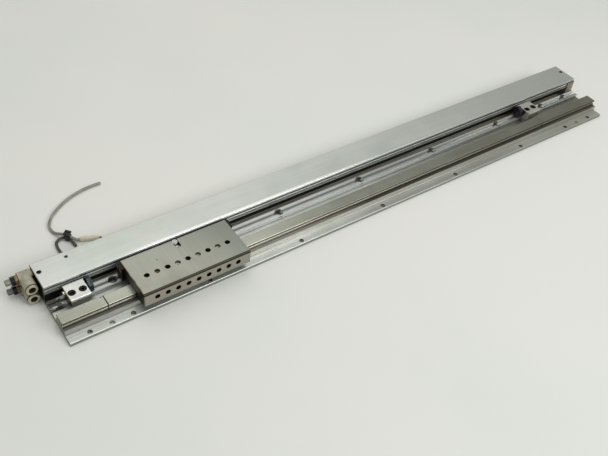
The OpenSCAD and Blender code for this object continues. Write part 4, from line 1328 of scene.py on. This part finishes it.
@dataclass
class Leads:
    """The two switch leads with the loose switch and the tie that holds them. Millimetres."""

    mounted_route: Sequence[Point] = (
        (45, 37.5, 15.1), (43, 37.5, 15.1), (39.8, 38.4, 15.1), (37.4, 40.8, 15), (36.3, 44.2, 14.2),
        (35.7, 47.8, 12.2), (35.2, 51.2, 9.2), (34.9, 54.6, 6), (34.7, 58.4, 3.3), (34.6, 62.6, 1.9),
        (34.7, 67, 1.5), (35, 71, 1.5), (35.9, 74.5, 1.6), (38.5, 77.1, 1.8), (42, 78, 2.1),
        (44.9, 77.4, 2.2), (47.2, 75.7, 2.3), (48.7, 73.2, 2.2), (49.1, 70, 1.9), (49.6, 66.5, 1.6),
        (49.8, 63, 1.5),
    )
    loose_route: Sequence[Point] = (
        (55.9, 68.44, 2.2), (53.6, 69.2, 2.2), (50.8, 71.4, 3.9), (48.3, 74.2, 5.4), (45.7, 77.6, 5.4),
        (42.8, 82, 3.9), (40.2, 86.8, 2), (38.8, 91, 1.5), (38.6, 96, 1.5), (40.2, 101.5, 1.5),
        (46.6, 110.5, 1.5), (58.5, 119.8, 1.5), (71.4, 126.5, 1.5), (83.4, 130.2, 1.5),
        (94.6, 132, 1.5), (105.3, 132.2, 1.5),
    )
    mounted_length: float = 73.6
    loose_length: float = 117.0
    switch_at: Point = (56, 68.4, 0)
    switch_turn: float = -18.9
    switch_square: float = 5.0
    switch_stations: Sequence[tuple[float, float, float, float]] = (
        (0.0, 2.9, 2.9, 2.15), (0.5, 3.6, 3.6, 2.1), (1.1, 4.0, 4.0, 2.1), (1.4, 3.8, 3.8, 2.1),
        (1.9, 3.8, 3.8, 2.1), (2.2, 4.0, 4.0, 2.1), (11.8, 4.0, 4.0, 2.1), (13.4, 3.7, 3.8, 2.0),
        (16.9, 2.7, 3.0, 1.6), (17.5, 2.3, 2.6, 1.4), (17.7, 1.8, 2.0, 1.3),
    )
    tip_z: float = 1.25
    tip_shape: Sequence[Pair] = ((17.4, 0.9), (17.9, 0.95), (18.9, 0.95), (19.1, 0.7), (20.0, 0.6))
    tip_sides: int = 12
    tie_at: Point = (47.5, 75.3, 0)
    tie_turn: float = 131.0
    tie_lift: float = 0.05
    tie_inner: Pair = (1.95, 6.2)
    tie_strap: Pair = (3.6, 0.8)
    tie_wraps: Sequence[Pair] = ((0.0, 1.0), (34.0, 1.12), (-30.0, 1.16))
    tie_square: Pair = (3.5, 4.5)
    tie_sides: int = 32
    tie_rounding: float = 0.18
    head_sunk: float = 0.1
    head_blocks: Sequence[tuple[Pair, Pair, float]] = (
        ((-2.9, 2.9), (-2.9, -0.75), 1.6), ((-2.9, 2.9), (0.75, 2.9), 1.6),
        ((-2.9, -2.3), (-0.8, 0.8), 1.6), ((2.3, 2.9), (-0.8, 0.8), 1.6),
        ((-1.6, 1.6), (-0.45, 0.45), 1.3),
    )

    def local(self, at: Point, turn: float) -> Matrix:
        """Gives the frame, in millimetres, of a piece that lies on the floor.

        Args:
            at: Its place, along X from the base's left end.
            turn: Its turn about Z, in degrees.

        Returns:
            The frame.
        """
        shift = Vector((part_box("base")[0].x, 0, 0)) + Vector(at) * MM
        turned = Matrix.Translation(shift) @ Matrix.Rotation(math.radians(turn), 4, "Z")
        return turned @ Matrix.Scale(MM, 4)

    def switch(self) -> list[bpy.types.Object]:
        """Makes the loose switch.

        Returns:
            Its tapered resin body and its dark metal tip.
        """
        where = self.local(self.switch_at, self.switch_turn)
        rings = []
        for x, width, height, middle in self.switch_stations:
            outline = rounded_box(width, height, self.switch_square)
            rings.append([(x, y, z + middle) for y, z in outline])
        body = Solid()
        body.loft(rings)
        made = body.piece("loose_switch_body", SWITCH_CREAM, "base_unit", where)
        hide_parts("loose_switch")
        tip = Solid()
        tip.loft([around((x, 0, self.tip_z), "x", [r] * self.tip_sides) for x, r in self.tip_shape])
        return [made, tip.piece("loose_switch_tip", BLACK_OXIDE, "base_unit", where)]

    def tie(self) -> bpy.types.Object:
        """Makes the tie: a round-cornered strap, its head with the slot, and its cut tail.

        Returns:
            The tie.
        """
        half, tall = self.tie_inner
        width, thick = self.tie_strap
        middle = self.tie_lift + thick + tall / 2
        outside, inside = self.tie_square
        outer = rounded_box(2 * (half + thick), tall + 2 * thick, outside, self.tie_sides)
        inner = rounded_box(2 * half, tall, inside, self.tie_sides)
        corners = ((-width / 2, outer), (width / 2, outer), (width / 2, inner), (-width / 2, inner))
        solid = Solid()
        for turn, grow in self.tie_wraps:
            c, s = math.cos(math.radians(turn)), math.sin(math.radians(turn))
            rings = []
            for x, outline in corners:
                rings.append([(c * x - s * y * grow, s * x + c * y * grow, z + middle) for y, z in outline])
            solid.loft(rings, capped=False)
        base = 2 * self.tie_lift + 2 * thick + tall
        for wide, deep, high in self.head_blocks:
            solid.block(wide, deep, (base - self.head_sunk, base + high))
        where = self.local(self.tie_at, self.tie_turn)
        made = solid.piece("lead_tie", NYLON, "base_unit", where, self.tie_rounding * MM)
        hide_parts("cable_tie")
        return made

    def build(self) -> None:
        """Makes the leads and what lies on them."""
        lying = [self.tie(), *self.switch()]
        mounted = ("mounted_lead", "mounted_switch_lead", SHEATH_DARK)
        Lead(*mounted, self.mounted_route, self.mounted_length * MM).build()
        loose = ("loose_lead", "loose_switch_lead", SHEATH)
        Lead(*loose, self.loose_route, self.loose_length * MM).build(lying)


@dataclass
class Bed:
    """The extruded base, the guide rail and what holds the rail down."""

    brown_from: float = -0.05
    brown_to: float = 0.33
    joint_half: float = 0.15 * MM
    joint_shares: Pair = (0.9, 0.15)

    def base(self) -> DrawnBase:
        """Gives the base's finish.

        Returns:
            The finish.
        """
        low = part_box("base")[0]
        return DrawnBase(
            "base_drawn", (224, 227, 222), (198, 202, 196), 0.75, 0.4, spread=0.07, patch=0.05,
            grain=Grain.ALONG, grain_size=0.6 * MM, grain_depth=0.012 * MM, worn=(238, 238, 234),
            stain=(182, 180, 168), stain_size=0.05, stain_share=0.3, grime_and_shade=(64, 58, 48),
            front=low.y, left=low.x,
        )

    def rail(self) -> RailSteel:
        """Gives the finish of the rail's three pieces.

        Returns:
            The finish.
        """
        low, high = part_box("guide_rail")
        places = (low.x - self.joint_half, high.x + self.joint_half)
        return RailSteel(
            "rail_ground_steel", (184, 186, 174), (166, 167, 156), 1.0, 0.3, patch=0.03,
            grain=Grain.ALONG, grain_size=0.6 * MM, start=self.brown_from, end=self.brown_to,
            left=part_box("rail_end_left")[0].x, front=low.y, top=high.z,
            joints=tuple(zip(places, self.joint_shares)),
        )

    def build(self) -> None:
        """Dresses the base, the rail pieces and their screws."""
        dress({"base": self.base(), "rail_screws": BLACK_OXIDE})
        dress(dict.fromkeys(("guide_rail", "rail_end_left", "rail_end_right"), self.rail()))


@dataclass
class Housing:
    """The long cover, the heads and the cylinder tube inside."""

    dent_from_left: float = 178.7 * MM
    dent_from_front: float = 65.7 * MM

    def build(self) -> None:
        """Dresses the cover, heads, tube and small inner pieces."""
        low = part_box("base")[0]
        cover = CoverAluminium(
            "cover_satin", (222, 226, 220), (210, 215, 209), 0.8, 0.46, spread=0.05, patch=0.03,
            grain=Grain.ALONG, grain_size=0.7 * MM, grain_depth=0.006 * MM, rounding=1.2 * MM,
            dent=(low.x + self.dent_from_left, low.y + self.dent_from_front),
            front=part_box("tube_cover")[0].y, left=low.x,
        )
        dress({"tube_cover": cover, "cover_screws": BLACK_OXIDE, "head_cover_left": BLACK_ANODISED})
        dress({"head_cover_right": HEAD_GREY, "head_screws": BLACK_OXIDE, "cylinder_tube": STAINLESS})
        dress({"tube_seals": SEAL_RUBBER, "end_bumpers": SEAL_RUBBER, "air_pipe": EXTRUSION})


@dataclass
class Adjusters:
    """The two stopper holders with their bolts, clamps and bumpers."""

    light: Colour = (226, 228, 225)
    dark: Colour = (206, 208, 204)
    warm_light: Colour = (236, 234, 226)
    warm_dark: Colour = (220, 217, 207)
    gold_below_top: float = 1.6 * MM

    def plating(self, side: str, light: Colour, dark: Colour, **painted_light_and_shade: float) -> PlatedHolder:
        """Gives a holder's plating.

        Args:
            side: "left" or "right".
            light: The plating's lighter colour.
            dark: The plating's darker colour.
            **painted_light_and_shade: Where the painted shade on its end face is and where that turns
                                       golden, if it has one.

        Returns:
            The finish.
        """
        return PlatedHolder(
            f"holder_plating_{side}", light, dark, 1.0, 0.34, spread=0.07, patch=0.012,
            worn=(240, 240, 236), stain=(186, 180, 160), stain_size=0.012, stain_share=0.3,
            rounding=0.4 * MM, grime_and_shade=(60, 52, 42), grime_and_shade_reach=2 * MM, **painted_light_and_shade,
        )

    def bolt(self, side: str, head_x: float, toward: float) -> DarkEndBolt:
        """Gives a bolt's plating, darker from head_x on, towards +X if toward is 1 and -X if it is -1."""
        look = {"metallic": 1.0, "roughness": 0.3, "spread": 0.07, "patch": 0.006}
        return DarkEndBolt(f"bolt_plating_{side}", self.light, self.dark, **look, head_x=head_x, toward=toward)

    def build(self) -> None:
        """Dresses both stroke adjusters."""
        left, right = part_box("stopper_holder_left"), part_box("stopper_holder_right")
        # The left holder's end face gets painted shade, golden near its top.
        painted_light_and_shade = {"shaded_end_x": left[0].x, "gold_z": left[1].z - self.gold_below_top}
        dress({
            "stopper_holder_left": self.plating("left", self.light, self.dark, **painted_light_and_shade),
            "stopper_holder_right": self.plating("right", self.warm_light, self.warm_dark),
            "stopper_bolt_left": self.bolt("left", left[1].x, 1.0),
            "stopper_bolt_right": self.bolt("right", right[0].x, -1.0),
            "bumper_left": TEAL,
            "bumper_right": VIOLET,
            "holder_clamps": PLATED,
            "holder_screws": BLACK_OXIDE,
        })


@dataclass
class Controllers:
    """The two elbow fittings with their needles and release rings. Millimetres."""

    teeth: int = 30
    knurl_start: float = 0.35
    knurl_length: float = 3.4
    knurl_slope: float = 0.2
    knurl_in: float = 2.6
    knurl_out: float = 2.8
    bead_shape: Sequence[Pair] = ((0.6, -0.1), (0.8, 0.14), (1.8, 0.14), (2.0, -0.1))
    bead_sides: int = 48
    ring_bore: float = 3.1
    body_bore: float = 4.35
    body_wall: float = 3.0

    def with_bore_shade(self, finish: Finish, name: str, **bore: object) -> ShadedBore:
        """Gives a finish, under a new name, with painted shade in a bore as well."""
        return ShadedBore(**{**vars(finish), "name": name, **bore})

    def knurl(self, name: str, finish: Finish) -> None:
        """Makes the straight knurl round one needle's knob.

        Args:
            name: "upper" or "lower".
            finish: The knob's finish.
        """
        low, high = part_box(f"needle_knob_{name}")
        middle = (low + high) / 2
        toothed = [(self.knurl_out if k % 3 else self.knurl_in) * MM for k in range(3 * self.teeth)]
        plain = [self.knurl_in * MM] * len(toothed)
        slope, length = self.knurl_slope, self.knurl_length
        rings = []
        for along, radii in ((0, plain), (slope, toothed), (length, toothed), (length + slope, plain)):
            x = low.x + (self.knurl_start + along) * MM
            rings.append(around((x, middle.y, middle.z), "x", radii))
        solid = Solid()
        solid.loft(rings)
        solid.piece(f"knob_knurl_{name}", finish, f"needle_{name}")

    def bead(self, name: str) -> None:
        """Makes the moulded bead round one fitting's mouth.

        Args:
            name: "upper" or "lower".
        """
        low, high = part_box(f"elbow_{name}")
        middle, radius = (low + high) / 2, (high.z - low.z) / 2
        rings = []
        for along, out in self.bead_shape:
            at = (middle.x, low.y + along * MM, middle.z)
            rings.append(around(at, "y", [radius + out * MM] * self.bead_sides))
        solid = Solid()
        solid.loft(rings, capped=False)
        solid.piece(f"elbow_bead_{name}", RESIN, "base_unit")

    def build(self) -> None:
        """Dresses both fittings and adds their knurls and beads."""
        for name, finish in (("upper", KNOB_LIGHT), ("lower", KNOB_DARK)):
            ring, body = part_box(f"release_ring_{name}"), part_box(f"elbow_{name}")
            middle = (ring[0] + ring[1]) / 2
            axis = (middle.x, middle.z)
            ivory = self.with_bore_shade(IVORY, f"ring_ivory_{name}", axis=axis, bore=self.ring_bore)
            inner = {"bore": self.body_bore, "back": body[1].y - self.body_wall * MM}
            resin = self.with_bore_shade(RESIN, f"fitting_resin_{name}", axis=axis, **inner)
            dress({f"elbow_{name}": resin, f"needle_knob_{name}": finish, f"release_ring_{name}": ivory})
            self.knurl(name, finish)
            self.bead(name)
        dress({"elbow_stems": TAN_BRASS, "elbow_gaskets": SEAL_RUBBER, "needle_lock_nuts": BLACK_NUT})
        dress({"mounted_switch": SWITCH_GREY})


@dataclass
class Carriage:
    """The steel table and everything bolted to it. Millimetres."""

    pitch: float = 10.0
    row: float = 19.5
    grub_places: Sequence[int] = (-3, -1, 1, 3)
    grub_radius: float = 2.42
    grub_chamfer: float = 0.3
    grub_depth: float = 2.6
    grub_length: float = 4.0
    grub_sides: int = 24
    socket_radius: float = 1.1
    socket_depth: float = 1.6

    def grub(self, solid: Solid, axis: Pair, top: float) -> None:
        """Adds one grub screw with its hexagonal socket.

        Args:
            solid: What it is added to.
            axis: Its place along X and Y, in metres.
            top: The height of its upper end, in metres.
        """
        flat = self.socket_radius * math.cos(math.radians(30))
        angles = [math.radians((360 * k / self.grub_sides) % 60 - 30) for k in range(self.grub_sides)]
        socket = [flat / math.cos(a) * MM for a in angles]
        wall, chamfer = self.grub_radius, self.grub_chamfer
        rings = [
            (self.grub_length, [wall * MM] * self.grub_sides),
            (chamfer, [wall * MM] * self.grub_sides),
            (0.0, [(wall - chamfer) * MM] * self.grub_sides),
            (0.0, socket),
            (self.socket_depth, socket),
        ]
        solid.loft([around((*axis, top - down * MM), "z", radii) for down, radii in rings])

    def grubs(self, name: str, places: Sequence[int], finish: Finish) -> None:
        """Makes grub screws in holes of the top row.

        Args:
            name: The piece's name.
            places: Which holes, counted from the middle one.
            finish: Their finish.
        """
        low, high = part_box("table")
        solid = Solid()
        for place in places:
            x = (low.x + high.x) / 2 + place * self.pitch * MM
            self.grub(solid, (x, low.y + self.row * MM), high.z - self.grub_depth * MM)
        solid.piece(name, finish, "carriage")

    def build(self) -> None:
        """Dresses the carriage and adds the grub screws."""
        low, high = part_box("table")
        steel = TableSteel(
            "table_ground_steel", (173, 175, 164), (163, 164, 153), 1.0, 0.34, spread=0.06, patch=0.03,
            grain=Grain.ACROSS, grain_size=0.7 * MM, grain_depth=0.004 * MM, worn=(196, 194, 182),
            stain=(146, 142, 128), low=tuple(low), high=tuple(high), pitch=self.pitch, top_row=self.row,
        )
        dress({"table": steel, "guide_balls": BALL, "end_plate_screws": BLACK_OXIDE})
        for side in ("left", "right"):
            dress({f"return_plate_{side}": DARK_RESIN, f"end_seal_{side}": SEAL_RUBBER})
            dress({f"stop_plate_{side}": BLACK_ANODISED})
        dress({"stop_plate_screws": YELLOW_ZINC, "coupling_bracket": BLACK_ANODISED})
        low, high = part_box("coupling_pin")
        bright = TurnedPin(
            "pin_bright", (238, 238, 234), (222, 222, 218), 0.5, 0.35, spread=0.06, patch=0.003,
            axis=tuple((low + high) / 2)[:2],
        )
        dress({"coupling_pin": bright, "coupling_screws": BRIGHT_ZINC})
        self.grubs("table_grub_gold", self.grub_places[:1], YELLOW_ZINC)
        self.grubs("table_grub_screws", self.grub_places[1:], BRIGHT_ZINC)


class Drive:
    """The magnet slider on the tube and the piston in it."""

    def build(self) -> None:
        """Dresses the slider and the piston."""
        dress({"slider_body": EXTRUSION, "outer_magnets": MAGNET, "outer_poles": POLE_IRON})
        dress({"slider_wear_rings": WEAR_RESIN, "piston_shaft": STAINLESS, "inner_magnets": MAGNET})
        dress({"inner_poles": POLE_IRON, "piston_heads": EXTRUSION, "piston_seals": SEAL_RUBBER})


def main() -> None:
    logging.basicConfig(level=logging.INFO, format="%(name)s: %(message)s")
    for builder in (Studio(), Leads(), Bed(), Housing(), Adjusters(), Controllers(), Carriage(), Drive()):
        LOG.info("building %s", type(builder).__name__)
        builder.build()


if __name__ == "__main__":
    main()
